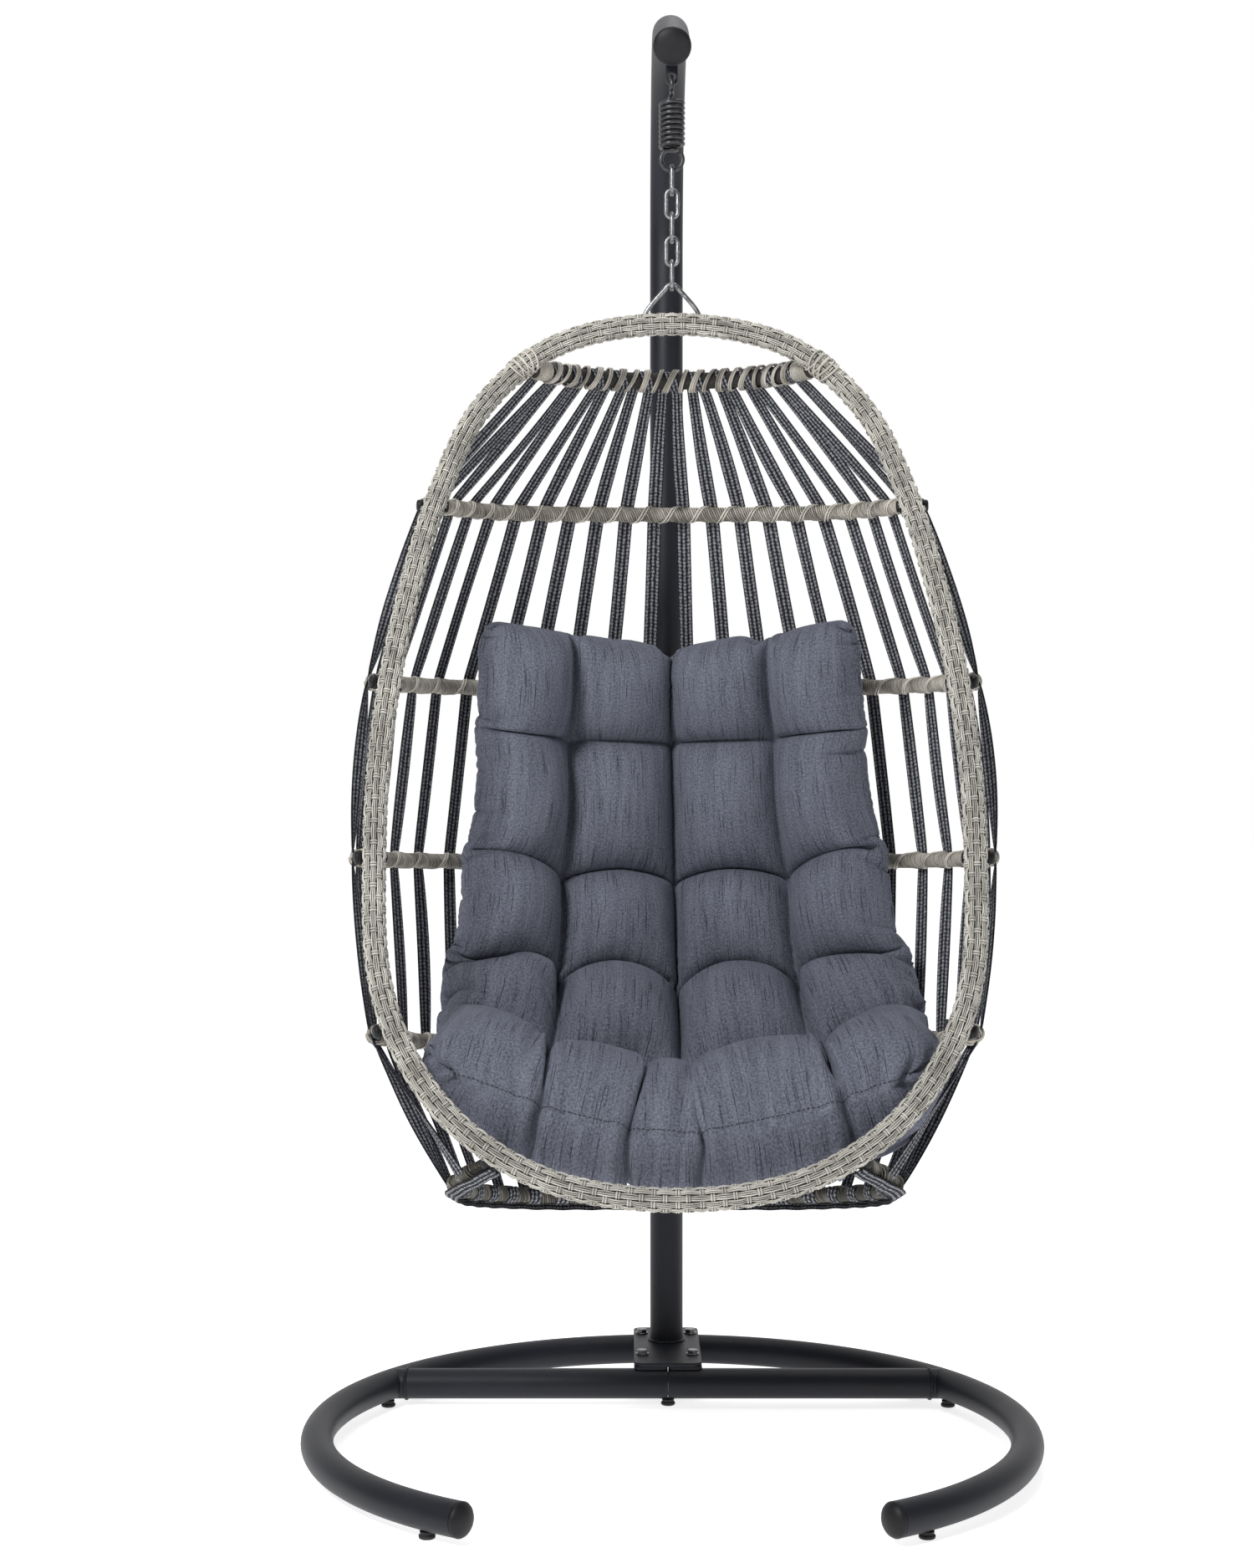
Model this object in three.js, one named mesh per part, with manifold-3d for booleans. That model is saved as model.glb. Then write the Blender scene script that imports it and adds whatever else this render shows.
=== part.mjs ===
// Hanging egg chair: a steel stand with a C-shaped base, an arched pole, a spring and
// chain, and an egg-shaped basket of bent bars and webbing straps with a seat cushion.
// Millimetres, +Z up, the opening of the basket faces -Y. The origin is on the floor,
// under the middle of the bounding box.
import * as THREE from "three";
import { mergeVertices } from "three/addons/utils/BufferGeometryUtils.js";
import Module from "manifold-3d";

const wasm = await Module();
wasm.setup();

// ---- Driving dimensions -------------------------------------------------------------
const GAP = 0.3; // clearance kept between touching pieces

// Base: two mirrored halves of 42 mm tube, each with half of a straight cross tube.
const RING_RADIUS = 460; // to the tube's centreline
const RING_TUBE = 21;
const TUBE_WALL = 1.6;
const RING_Z = 30; // height of the tube's centreline
const RING_OPEN_DEG = 33; // from straight ahead to each front end
const CROSS_Y = 247; // the cross tube, behind the middle of the ring
const SEAM_GAP = 0.6; // between the two halves
const FOOT_RADIUS = 10;
const FOOT_ANGLES_DEG = [31, -11, -51]; // round the ring from +X, mirrored on the left
const PLATE = { x: 96, yFront: 239, yRear: 467, thick: 5, corner: 12 };
const POLE_PLATE_THICK = 6;
const PLATE_BOLTS = { x: 36, ys: [295, 428] };

// Pole: a 48 mm tube in two lengths that plug together, arched forward at the top.
const POLE_Y = 385;
const POLE_TUBE = 24;
const POLE_JOINT_Z = 1000;
const SPIGOT_LENGTH = 120;
const ARCH_RADIUS = 250;
const ARCH_TOP_Z = 1888; // centreline
const ARM_DROP_DEG = 25; // slope of the arm's straight end
const ARM_STRAIGHT = 103;
const GUSSET = { height: 75, depth: 44, thick: 6 };

// Suspension, all on the line X = 0, Y = HANG_Y.
const HANG_Y = -40;
const LUG = { width: 15, thick: 4, holeZ: 1788, holeR: 5.5, bottomZ: 1777 };
const SPRING = { wire: 2.8, coilR: 15.2, topHookR: 11, topZ: 1758, turns: 9.5, pitch: 6.6 };
const LOWER_HOOK = { r: 14.2, bottomZ: 1667.5 };
const LINK = { wire: 2.5, length: 41, width: 20, count: 5 };
const VEE = { wire: 3, halfWidth: 34 };

// Basket: the rim is an egg outline in a plane that leans, with its bottom forward.
const RIM_TOP_Z = 1469;
const RIM_TUBE = 14.5;
const RIM_TILT_DEG = 16.5;
// Right half of the rim's centreline: half width, and distance down the leaning plane.
const RIM_OUTLINE = [
  [0, 0], [148, 30], [242, 116], [294, 232], [336, 400], [358, 553], [363, 700],
  [352, 864], [314, 963], [251, 1041], [148, 1102], [0, 1124],
];
const BAR_TUBE = 9;
const BAR_END_BACK = 22; // from the rim's centreline to the bar's end
const BAR_END_OUT = 7; // bolted bars start a little outside the rim's centreline
// Each bar runs from the rim back round the sitter. down: its place on the rim.
// bulge: the widest point behind the rim. corner: the 45 degree point. back: the middle.
const BARS = [
  { name: "top_bar", down: 60, bulge: null, corner: [112, 26, 1412], back: [56, 1412] },
  { name: "crossbar_1", down: 252, bulge: [310, -36, 1236], corner: [226, 96, 1243], back: [168, 1248] },
  { name: "crossbar_2", down: 488, bulge: [376, -96, 1004], corner: [284, 118, 1008], back: [238, 1010] },
  { name: "crossbar_3", down: 714, bulge: [390, -146, 782], corner: [300, 96, 772], back: [242, 768] },
  { name: "crossbar_4", down: 927, bulge: [362, -215, 568], corner: [282, 28, 534], back: [160, 522] },
  { name: "bottom_bar", down: 1078, bulge: [262, -250, 392], corner: [190, -75, 350], back: [-8, 338] },
];
const END_GAP = 1.3; // between a bar's round side, the lug and the bolt's caps
const TAB = { thick: 4, width: 24, length: 54, past: 13 }; // steel lugs on the rim that carry the bars
const RIB_BOLT = { r: 4, hole: 4.8, capR: 9, capLength: 8, fromEnd: 13 };
const STRAP = { width: 14, thick: 3, loops: 11, clear: 1.9 };
const STRAP_INSET = [24, 50, 52, 52, 52, 60]; // first strap's distance from each bar's end

// ---- Materials ------------------------------------------------------------------------
const finish = (color, roughness, metalness) =>
  new THREE.MeshStandardMaterial({ color, roughness, metalness });
const POWDER_COAT = finish("#2e3034", 0.45, 0.4);
const BLACK_PLASTIC = finish("#1b1c1e", 0.5, 0);
const ZINC = finish("#a4a8a8", 0.35, 0.9);
const SPRING_STEEL = finish("#26272a", 0.4, 0.7);
const RATTAN = finish("#b5b0a0", 0.7, 0);
const WEBBING = finish("#393d45", 0.85, 0);
const FABRIC = finish("#4a4e5b", 0.95, 0);

// ---- Small tools ----------------------------------------------------------------------
const vec = (x, y, z) => new THREE.Vector3(x, y, z);
const rad = THREE.MathUtils.degToRad;
const UP = vec(0, 0, 1);

// A path through given points, so that a swept section has one ring at each point.
class Route extends THREE.Curve {
  constructor(points) {
    super();
    this.points = points;
  }
  getPoint(t, target = vec(0, 0, 0)) {
    const last = this.points.length - 1;
    const i = Math.min(Math.floor(t * last + 1e-9), last - 1);
    return target.lerpVectors(this.points[i], this.points[i + 1], t * last - i);
  }
  getPointAt(t, target) {
    return this.getPoint(t, target);
  }
  getTangentAt(t, target = vec(0, 0, 0)) {
    const last = this.points.length - 1;
    const i = Math.round(t * last);
    const before = this.points[Math.max(i - 1, 0)];
    const after = this.points[Math.min(i + 1, last)];
    return target.subVectors(after, before).normalize();
  }
}

function polygon(radius, sides) {
  return Array.from({ length: sides }, (_, i) => {
    const a = (2 * Math.PI * i) / sides;
    return new THREE.Vector2(radius * Math.cos(a), radius * Math.sin(a));
  });
}

// A round rod or tube along the points. bore: the inner radius of a tube, or 0.
function rod(points, radius, sides, bore = 0) {
  const section = new THREE.Shape(polygon(radius, sides));
  if (bore) {
    section.holes.push(new THREE.Path(polygon(bore, sides)));
  }
  return new THREE.ExtrudeGeometry(section, {
    steps: points.length - 1,
    bevelEnabled: false,
    extrudePath: new Route(points),
  });
}

function turned(profile, segments) {
  return new THREE.LatheGeometry(profile.map(([r, y]) => new THREE.Vector2(r, y)), segments);
}

// Turns a geometry's own +Y along a direction and moves it to a place.
function aimed(geometry, place, direction) {
  const turn = new THREE.Quaternion().setFromUnitVectors(vec(0, 1, 0), direction.clone().normalize());
  return geometry.applyQuaternion(turn).translate(place.x, place.y, place.z);
}

function slab(points, thick) {
  const shape = new THREE.Shape(points.map(([x, y]) => new THREE.Vector2(x, y)));
  return new THREE.ExtrudeGeometry(shape, { depth: thick, bevelEnabled: false });
}

function toSolid(geometry) {
  const bare = geometry.clone();
  bare.deleteAttribute("normal");
  bare.deleteAttribute("uv");
  const merged = mergeVertices(bare, 1e-4);
  return new wasm.Manifold(
    new wasm.Mesh({
      numProp: 3,
      vertProperties: new Float32Array(merged.attributes.position.array),
      triVerts: new Uint32Array(merged.index.array),
    }),
  );
}

function toGeometry(solid) {
  const mesh = solid.getMesh();
  const geometry = new THREE.BufferGeometry();
  geometry.setAttribute("position", new THREE.BufferAttribute(new Float32Array(mesh.vertProperties), 3));
  geometry.setIndex(new THREE.BufferAttribute(new Uint32Array(mesh.triVerts), 1));
  geometry.computeVertexNormals();
  return geometry;
}

// Joins the first list of geometries and cuts the second list away.
function carve(joined, cut = []) {
  let solid = toSolid(joined[0]);
  for (const geometry of joined.slice(1)) {
    solid = solid.add(toSolid(geometry));
  }
  for (const geometry of cut) {
    solid = solid.subtract(toSolid(geometry));
  }
  return toGeometry(solid);
}

function cylinder(radius, length, sides, place, direction) {
  return aimed(new THREE.CylinderGeometry(radius, radius, length, sides), place, direction);
}

// A closed body from rings of points: each ring has the same number of points.
function loft(rings) {
  const count = rings[0].length;
  const positions = rings.flat().flatMap((p) => [p.x, p.y, p.z]);
  const index = [];
  for (let i = 0; i < rings.length - 1; i++) {
    for (let j = 0; j < count; j++) {
      const a = i * count + j;
      const b = i * count + ((j + 1) % count);
      index.push(a, b, b + count, a, b + count, a + count);
    }
  }
  const end = (rings.length - 1) * count;
  // Each end is closed by a ladder of quads between the two halves of its ring.
  for (let j = 0; j < Math.floor(count / 2) - 1; j++) {
    const [a, b, c, d] = [j, j + 1, count - 2 - j, count - 1 - j];
    index.push(a, d, c, a, c, b);
    index.push(end + a, end + b, end + c, end + a, end + c, end + d);
  }
  const geometry = new THREE.BufferGeometry();
  geometry.setAttribute("position", new THREE.Float32BufferAttribute(positions, 3));
  geometry.setIndex(index);
  geometry.computeVertexNormals();
  return geometry;
}

const chair = new THREE.Group();
function addPiece(name, geometry, material) {
  const mesh = new THREE.Mesh(geometry, material);
  mesh.name = name;
  chair.add(mesh);
  return mesh;
}

// ---- Base -----------------------------------------------------------------------------
const ringPoint = (deg, side) =>
  vec(side * RING_RADIUS * Math.cos(rad(deg)), RING_RADIUS * Math.sin(rad(deg)), RING_Z);

// The ring's centreline on one side, from the rear seam to the front end.
function ringRoute(side, overrun = 0) {
  const front = RING_OPEN_DEG - 90 - overrun;
  const steps = 22;
  const square = vec(side * (SEAM_GAP / 2 - overrun * 8), RING_RADIUS, RING_Z); // a square start at the seam
  const arc = Array.from({ length: steps + 1 }, (_, i) => ringPoint(89 + ((front - 89) * i) / steps, side));
  arc[0].y = RING_RADIUS;
  return [square, ...arc];
}

function basePlate(side) {
  const inner = (side * SEAM_GAP) / 2;
  const outer = (side * PLATE.x) / 2;
  const c = side * PLATE.corner;
  const outline = [
    [inner, PLATE.yFront], [outer - c, PLATE.yFront], [outer, PLATE.yFront + PLATE.corner],
    [outer, PLATE.yRear - PLATE.corner], [outer - c, PLATE.yRear], [inner, PLATE.yRear],
  ];
  return slab(side > 0 ? outline : outline.reverse(), PLATE.thick).translate(0, 0, RING_Z + RING_TUBE - 1);
}

const boltHoles = (zLow, zHigh, sides) =>
  PLATE_BOLTS.ys.flatMap((y) =>
    sides.map((side) =>
      cylinder(4.6, zHigh - zLow, 10, vec(side * PLATE_BOLTS.x, y, (zLow + zHigh) / 2), UP)));

function baseHalf(side) {
  const crossEnd = Math.sqrt(RING_RADIUS ** 2 - CROSS_Y ** 2);
  const crossRoute = (start) => [vec(side * start, CROSS_Y, RING_Z), vec(side * crossEnd, CROSS_Y, RING_Z)];
  const bore = RING_TUBE - TUBE_WALL;
  return carve(
    [rod(ringRoute(side), RING_TUBE, 12), rod(crossRoute(SEAM_GAP / 2), RING_TUBE, 12), basePlate(side)],
    [rod(ringRoute(side, 0.3), bore, 12), rod(crossRoute(-2), bore, 12), ...boltHoles(45, 60, [side])],
  );
}

for (const [word, side] of [["left", -1], ["right", 1]]) {
  addPiece(`base_half_${word}`, baseHalf(side), POWDER_COAT);
  // Domed plug in the front end, with a stub inside the tube.
  const [before, end] = ringRoute(side).slice(-2);
  const outwards = end.clone().sub(before);
  const plug = turned(
    [[0, -14], [17.5, -14], [17.5, GAP], [RING_TUBE, GAP], [RING_TUBE, 4], [17, 9], [9, 12.5], [0, 13.5]], 12);
  addPiece(`base_end_cap_${word}`, aimed(plug, end, outwards), BLACK_PLASTIC);
}

// Short joining tubes inside the two seams of the base.
const SPIGOT_RADIUS = RING_TUBE - TUBE_WALL - 2.4;
const seamArc = Array.from({ length: 7 }, (_, i) => ringPoint(90 - 6 + 2 * i, 1));
addPiece("ring_joiner", rod(seamArc, SPIGOT_RADIUS, 10, SPIGOT_RADIUS - 2), ZINC);
const crossSeam = [vec(-60, CROSS_Y, RING_Z), vec(60, CROSS_Y, RING_Z)];
addPiece("cross_tube_joiner", rod(crossSeam, SPIGOT_RADIUS, 10, SPIGOT_RADIUS - 2), ZINC);

// Feet under the tubes: three on each side and one under the cross tube.
function foot(x, y) {
  const top = RING_Z - RING_TUBE - GAP;
  const profile = [[0, 0], [FOOT_RADIUS - 1, 0], [FOOT_RADIUS, 2], [FOOT_RADIUS - 2, top], [0, top]];
  return aimed(turned(profile, 12), vec(x, y, 0), UP);
}
for (const [word, side] of [["left", -1], ["right", 1]]) {
  FOOT_ANGLES_DEG.forEach((deg, i) => {
    const place = ringPoint(deg, side);
    addPiece(`foot_${word}_${i + 1}`, foot(place.x, place.y), BLACK_PLASTIC);
  });
}
addPiece("foot_centre", foot(0, CROSS_Y), BLACK_PLASTIC);

// ---- Pole -----------------------------------------------------------------------------
const PLATE_TOP = RING_Z + RING_TUBE - 1 + PLATE.thick + GAP;
const POLE_FOOT = PLATE_TOP + POLE_PLATE_THICK;

function polePlate() {
  const x = PLATE.x / 2;
  const c = PLATE.corner;
  const [front, rear] = [PLATE.yFront, PLATE.yRear];
  const outline = [
    [-x + c, front], [x - c, front], [x, front + c], [x, rear - c],
    [x - c, rear], [-x + c, rear], [-x, rear - c], [-x, front + c],
  ];
  return slab(outline, POLE_PLATE_THICK).translate(0, 0, PLATE_TOP);
}

function gusset() {
  const start = POLE_Y + POLE_TUBE - 2;
  const triangle = [[0, 0], [GUSSET.depth, 0], [GUSSET.depth, 6], [0, GUSSET.height]];
  return slab(triangle, GUSSET.thick)
    .rotateX(Math.PI / 2)
    .rotateZ(Math.PI / 2)
    .translate(-GUSSET.thick / 2, start, POLE_FOOT - 1);
}

const jointBolt = { z: POLE_JOINT_Z - SPIGOT_LENGTH / 2, hole: 4.8 };
const jointHole = () => cylinder(jointBolt.hole, 80, 10, vec(0, POLE_Y, jointBolt.z), vec(1, 0, 0));
const upright = (z0, z1) => [vec(0, POLE_Y, z0), vec(0, POLE_Y, z1)];

addPiece("pole_lower", carve(
  [rod(upright(POLE_FOOT - 2, POLE_JOINT_Z), POLE_TUBE, 16), polePlate(), gusset()],
  [rod(upright(POLE_FOOT, POLE_JOINT_Z + 5), POLE_TUBE - TUBE_WALL, 16), jointHole(),
    ...boltHoles(45, 70, [-1, 1])],
), POWDER_COAT);

// The arm: up the pole, over an arc, and a straight end that slopes down and forward.
const ARCH_BASE_Z = ARCH_TOP_Z - ARCH_RADIUS;
const ARCH_Y = POLE_Y - ARCH_RADIUS;
function armRoute(startZ, overrun = 0) {
  const points = [vec(0, POLE_Y, startZ - overrun)];
  const sweep = 90 + ARM_DROP_DEG;
  const steps = 14;
  for (let i = 0; i <= steps; i++) {
    const a = rad((sweep * i) / steps);
    points.push(vec(0, ARCH_Y + ARCH_RADIUS * Math.cos(a), ARCH_BASE_Z + ARCH_RADIUS * Math.sin(a)));
  }
  const slope = rad(ARM_DROP_DEG);
  const last = points[points.length - 1];
  const run = ARM_STRAIGHT + overrun;
  points.push(last.clone().add(vec(0, -run * Math.cos(slope), -run * Math.sin(slope))));
  return points;
}
const armDirection = vec(0, -Math.cos(rad(ARM_DROP_DEG)), -Math.sin(rad(ARM_DROP_DEG)));
const armEnd = armRoute(POLE_JOINT_Z).at(-1);

function hangingLug() {
  const high = LUG.holeZ + 32;
  const half = LUG.width / 2;
  const outline = [
    [-half, LUG.bottomZ + 6], [-half + 5, LUG.bottomZ], [half - 5, LUG.bottomZ], [half, LUG.bottomZ + 6],
    [half, high], [-half, high],
  ];
  return slab(outline, LUG.thick).rotateX(Math.PI / 2).translate(0, HANG_Y + LUG.thick / 2, 0);
}

const spigot = rod(upright(POLE_JOINT_Z - SPIGOT_LENGTH, POLE_JOINT_Z + 20), POLE_TUBE - 2.6, 16);
const spigotBore = rod(upright(POLE_JOINT_Z - SPIGOT_LENGTH - 5, POLE_JOINT_Z + 10), POLE_TUBE - 4.2, 16);
const armBore = rod(armRoute(POLE_JOINT_Z + 5, 4), POLE_TUBE - TUBE_WALL, 16);
const lugHole = cylinder(LUG.holeR, 20, 12, vec(0, HANG_Y, LUG.holeZ), vec(0, 1, 0));
addPiece("pole_upper", carve(
  [rod(armRoute(POLE_JOINT_Z + GAP), POLE_TUBE, 16), spigot, hangingLug()],
  [spigotBore, armBore, jointHole(), lugHole],
), POWDER_COAT);

const armCap = turned(
  [[0, -14], [20.5, -14], [20.5, GAP], [POLE_TUBE, GAP], [POLE_TUBE, 3], [20, 7], [11, 10], [0, 11]], 16);
addPiece("arm_end_cap", aimed(armCap, armEnd, armDirection), BLACK_PLASTIC);

// A bolt with a head at one end and a nut at the other, along its own +Y from 0.
function boltAndNut(grip, headR, headLength) {
  return turned([
    [0, -headLength], [headR, -headLength], [headR, 0], [4, 0],
    [4, grip], [headR, grip], [headR, grip + headLength], [0, grip + headLength],
  ], 8);
}
const jointGrip = 2 * POLE_TUBE + 2 * GAP;
addPiece("pole_joint_bolt",
  aimed(boltAndNut(jointGrip, 8, 5), vec(-jointGrip / 2, POLE_Y, jointBolt.z), vec(1, 0, 0)), ZINC);

const plateGrip = POLE_FOOT - (RING_Z + RING_TUBE - 1) + 2 * GAP;
PLATE_BOLTS.ys.forEach((y, row) => {
  for (const [word, side] of [["left", -1], ["right", 1]]) {
    const place = vec(side * PLATE_BOLTS.x, y, RING_Z + RING_TUBE - 1 - GAP);
    addPiece(`plate_bolt_${word}_${row + 1}`, aimed(boltAndNut(plateGrip, 8, 5.5), place, UP), ZINC);
  }
});

// ---- Spring, chain and hanger -----------------------------------------------------------
// Upper hook through the lug, close-wound coil, and a lower hook that carries the chain.
function springRoute() {
  const points = [];
  const hook = SPRING.topHookR;
  const hookZ = LUG.holeZ - hook;
  for (let i = 0; i <= 12; i++) {
    const a = rad(-35 + (305 * i) / 12); // from the open end, over the top, to the bottom
    points.push(vec(0, HANG_Y - hook * Math.cos(a), hookZ + hook * Math.sin(a)));
  }
  const stepsPerTurn = 10;
  const steps = SPRING.turns * stepsPerTurn;
  for (let i = 0; i <= steps; i++) {
    const a = (2 * Math.PI * i) / stepsPerTurn;
    const ease = Math.min(1, (i + 1) / 4, (steps - i + 1) / 4);
    const r = SPRING.coilR * ease;
    points.push(vec(-r * Math.cos(a), HANG_Y + r * Math.sin(a), SPRING.topZ - (SPRING.pitch * i) / stepsPerTurn));
  }
  const r = LOWER_HOOK.r;
  const z = LOWER_HOOK.bottomZ + r;
  for (let i = 0; i <= 14; i++) {
    const a = rad(105 + (290 * i) / 14); // down the left side, under, and up on the right
    points.push(vec(r * Math.cos(a), HANG_Y, z + r * Math.sin(a)));
  }
  return points;
}
addPiece("spring", rod(springRoute(), SPRING.wire, 6), SPRING_STEEL);

// One welded link: two straights and two half circles. faceOn links lie in the XZ plane.
function chainLink(topZ, faceOn) {
  const bend = LINK.width / 2 - LINK.wire;
  const straight = LINK.length / 2 - LINK.width / 2;
  const middle = topZ - (LINK.length / 2 - LINK.wire);
  const points = [];
  for (const [sign, from] of [[1, 0], [-1, 180]]) {
    for (let i = 0; i <= 6; i++) {
      const a = rad(from + 30 * i);
      points.push([bend * Math.cos(a), middle + sign * straight + bend * Math.sin(a)]);
    }
  }
  const loop = new Route([...points, points[0]].map(([s, z]) =>
    faceOn ? vec(s, HANG_Y, z) : vec(0, HANG_Y + s, z)));
  return new THREE.TubeGeometry(loop, points.length, LINK.wire, 8, true);
}
const firstLinkZ = LOWER_HOOK.bottomZ + SPRING.wire + LINK.wire + GAP;
const linkPitch = LINK.length - 4 * LINK.wire - GAP;
for (let i = 0; i < LINK.count; i++) {
  addPiece(`chain_link_${i + 1}`, chainLink(firstLinkZ - i * linkPitch, i % 2 === 1), ZINC);
}

// Bent steel rod that spreads the load from the last link to the top of the rim.
const veeTopZ = firstLinkZ - (LINK.count - 1) * linkPitch - (LINK.length - 2 * LINK.wire)
  + LINK.wire + VEE.wire + GAP;
function veeRoute() {
  const foot = RIM_TOP_Z + RIM_TUBE + 1;
  const points = [vec(-VEE.halfWidth, HANG_Y, foot)];
  for (let i = 0; i <= 6; i++) {
    const a = rad(-45 + 15 * i);
    points.push(vec(9 * Math.sin(a), HANG_Y, veeTopZ - 9 + 9 * Math.cos(a)));
  }
  points.push(vec(VEE.halfWidth, HANG_Y, foot));
  return points;
}
addPiece("hanger_vee", rod(veeRoute(), VEE.wire, 8), ZINC);

// ---- Basket frame -----------------------------------------------------------------------
const TILT = rad(RIM_TILT_DEG);
const onRim = (u, down) => vec(u, HANG_Y - down * Math.sin(TILT), RIM_TOP_Z - down * Math.cos(TILT));
const outlineRight = RIM_OUTLINE.map(([u, down]) => onRim(u, down));
const outlineLeft = RIM_OUTLINE.slice(1, -1).reverse().map(([u, down]) => onRim(-u, down));
const rimCurve = new THREE.CatmullRomCurve3([...outlineRight, ...outlineLeft], true, "centripetal");

// The rim's half width at a distance down its plane.
function rimHalfWidth(down) {
  const samples = rimCurve.getSpacedPoints(600).filter((p) => p.x >= 0);
  const z = RIM_TOP_Z - down * Math.cos(TILT);
  return samples.reduce((best, p) => (Math.abs(p.z - z) < Math.abs(best.z - z) ? p : best)).x;
}

// A bar's centreline from the left end to the right end.
function barCurve(bar) {
  const side = onRim(rimHalfWidth(bar.down), bar.down);
  const half = [side.clone().add(vec(bar.bulge ? BAR_END_OUT : -14, BAR_END_BACK, 0))];
  if (bar.bulge) {
    half.push(vec(...bar.bulge));
  }
  half.push(vec(...bar.corner));
  const left = half.map((p) => vec(-p.x, p.y, p.z));
  const points = [...left, vec(0, ...bar.back), ...half.reverse()];
  return new THREE.CatmullRomCurve3(points, false, "centripetal");
}

// The bolt's place, the bar's direction there and the outward side, at one end of a bar.
function barEnd(curve, side) {
  const along = RIB_BOLT.fromEnd / curve.getLength();
  const t = side > 0 ? 1 - along : along;
  const place = curve.getPointAt(t);
  const back = curve.getTangentAt(t).multiplyScalar(-side);
  const outward = vec(side * back.y, -side * back.x, 0).normalize();
  return { place, back, outward };
}

const bars = BARS.map((bar) => ({ ...bar, curve: barCurve(bar) }));
const bolted = bars.filter((bar) => bar.bulge);
const TAB_OFFSET = BAR_TUBE + END_GAP + TAB.thick / 2;

const boltHole = (end, length) => cylinder(RIB_BOLT.hole, length, 10, end.place, end.outward);
const bothEnds = (bar) => [-1, 1].map((side) => barEnd(bar.curve, side));

function rimTab(end) {
  const middle = end.place.clone()
    .addScaledVector(end.back, TAB.past - TAB.length / 2)
    .addScaledVector(end.outward, -TAB_OFFSET);
  const across = end.outward.clone();
  const along = end.back.clone();
  const high = across.clone().cross(along);
  const turn = new THREE.Matrix4().makeBasis(across, along, high).setPosition(middle);
  return new THREE.BoxGeometry(TAB.thick, TAB.length, TAB.width).applyMatrix4(turn);
}

const rimTube = new THREE.TubeGeometry(rimCurve, 48, RIM_TUBE, 10, true);
const barEnds = bolted.flatMap(bothEnds);
addPiece("rim", carve([rimTube, ...barEnds.map(rimTab)], barEnds.map((end) => boltHole(end, 60))), RATTAN);

for (const bar of bars) {
  const tube = rod(bar.curve.getSpacedPoints(bar.bulge ? 24 : 14), BAR_TUBE, 8);
  const holes = bar.bulge ? bothEnds(bar).map((end) => boltHole(end, 40)) : [];
  addPiece(bar.name, holes.length ? carve([tube], holes) : tube, RATTAN);
}

// Bolts that hold the bars to the rim's lugs, with a round plastic cap at each end.
const ribGrip = 2 * BAR_TUBE + TAB.thick + 2 * END_GAP + GAP;
function ribBolt() {
  const { r, capR, capLength } = RIB_BOLT;
  return turned([
    [0, -capLength], [capR - 2, -capLength], [capR, 2 - capLength], [capR, 0], [r, 0],
    [r, ribGrip], [capR, ribGrip], [capR, ribGrip + capLength - 2], [capR - 2, ribGrip + capLength],
    [0, ribGrip + capLength],
  ], 8);
}
bolted.forEach((bar, i) => {
  bothEnds(bar).forEach((end, k) => {
    const inner = TAB.thick + BAR_TUBE + END_GAP + GAP;
    const start = end.place.clone().addScaledVector(end.outward, -inner);
    addPiece(`rib_bolt_${["left", "right"][k]}_${i + 1}`, aimed(ribBolt(), start, end.outward), BLACK_PLASTIC);
  });
});

// ---- Straps -------------------------------------------------------------------------------
// Each strap is a flat loop: up the outside of the bars, once round the top bar, and down.
const strapLift = BAR_TUBE + STRAP.thick / 2 + STRAP.clear;
const upwards = bars.slice().reverse();

// Where strap number n of all crosses a bar: a place, the direction along the bar, and out.
function crossing(bar, number) {
  const length = bar.curve.getLength();
  const inset = STRAP_INSET[bars.indexOf(bar)] / length;
  const count = 2 * STRAP.loops;
  const t = inset + ((1 - 2 * inset) * number) / (count - 1);
  const along = bar.curve.getTangentAt(t);
  const out = vec(-along.y, along.x, 0).normalize();
  return { place: bar.curve.getPointAt(t), along, out };
}

// A point round a bar, at an angle from straight outwards towards up.
function roundBar(at, deg) {
  return at.place.clone()
    .addScaledVector(at.out, strapLift * Math.cos(rad(deg)))
    .addScaledVector(UP, strapLift * Math.sin(rad(deg)));
}

function strapPath(loop) {
  const path = [];
  const [up, down] = [2 * loop, 2 * loop + 1];
  const climb = (number) => {
    const stops = upwards.map((bar) => crossing(bar, number));
    return stops.slice(0, -1).flatMap((at, i) => {
      // The strap leans on each bar on the side that faces away from its neighbours.
      const run = stops[i + 1].place.clone().sub(stops[Math.max(i - 1, 0)].place);
      const lean = THREE.MathUtils.radToDeg(Math.atan2(-run.dot(at.out), run.z));
      const angles = i === 0 ? [-110, -75, lean - 12] : [lean];
      return angles.map((deg) => ({ point: roundBar(at, deg), along: at.along }));
    });
  };
  path.push(...climb(up));
  const [first, second] = [crossing(bars[0], up), crossing(bars[0], down)];
  const shift = second.place.clone().sub(first.place);
  for (let i = 0; i <= 10; i++) {
    const move = shift.clone().multiplyScalar(i / 10);
    path.push({ point: roundBar(first, 15 + 31 * i).add(move), along: first.along });
  }
  path.push(...climb(down).reverse());
  return path;
}

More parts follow.
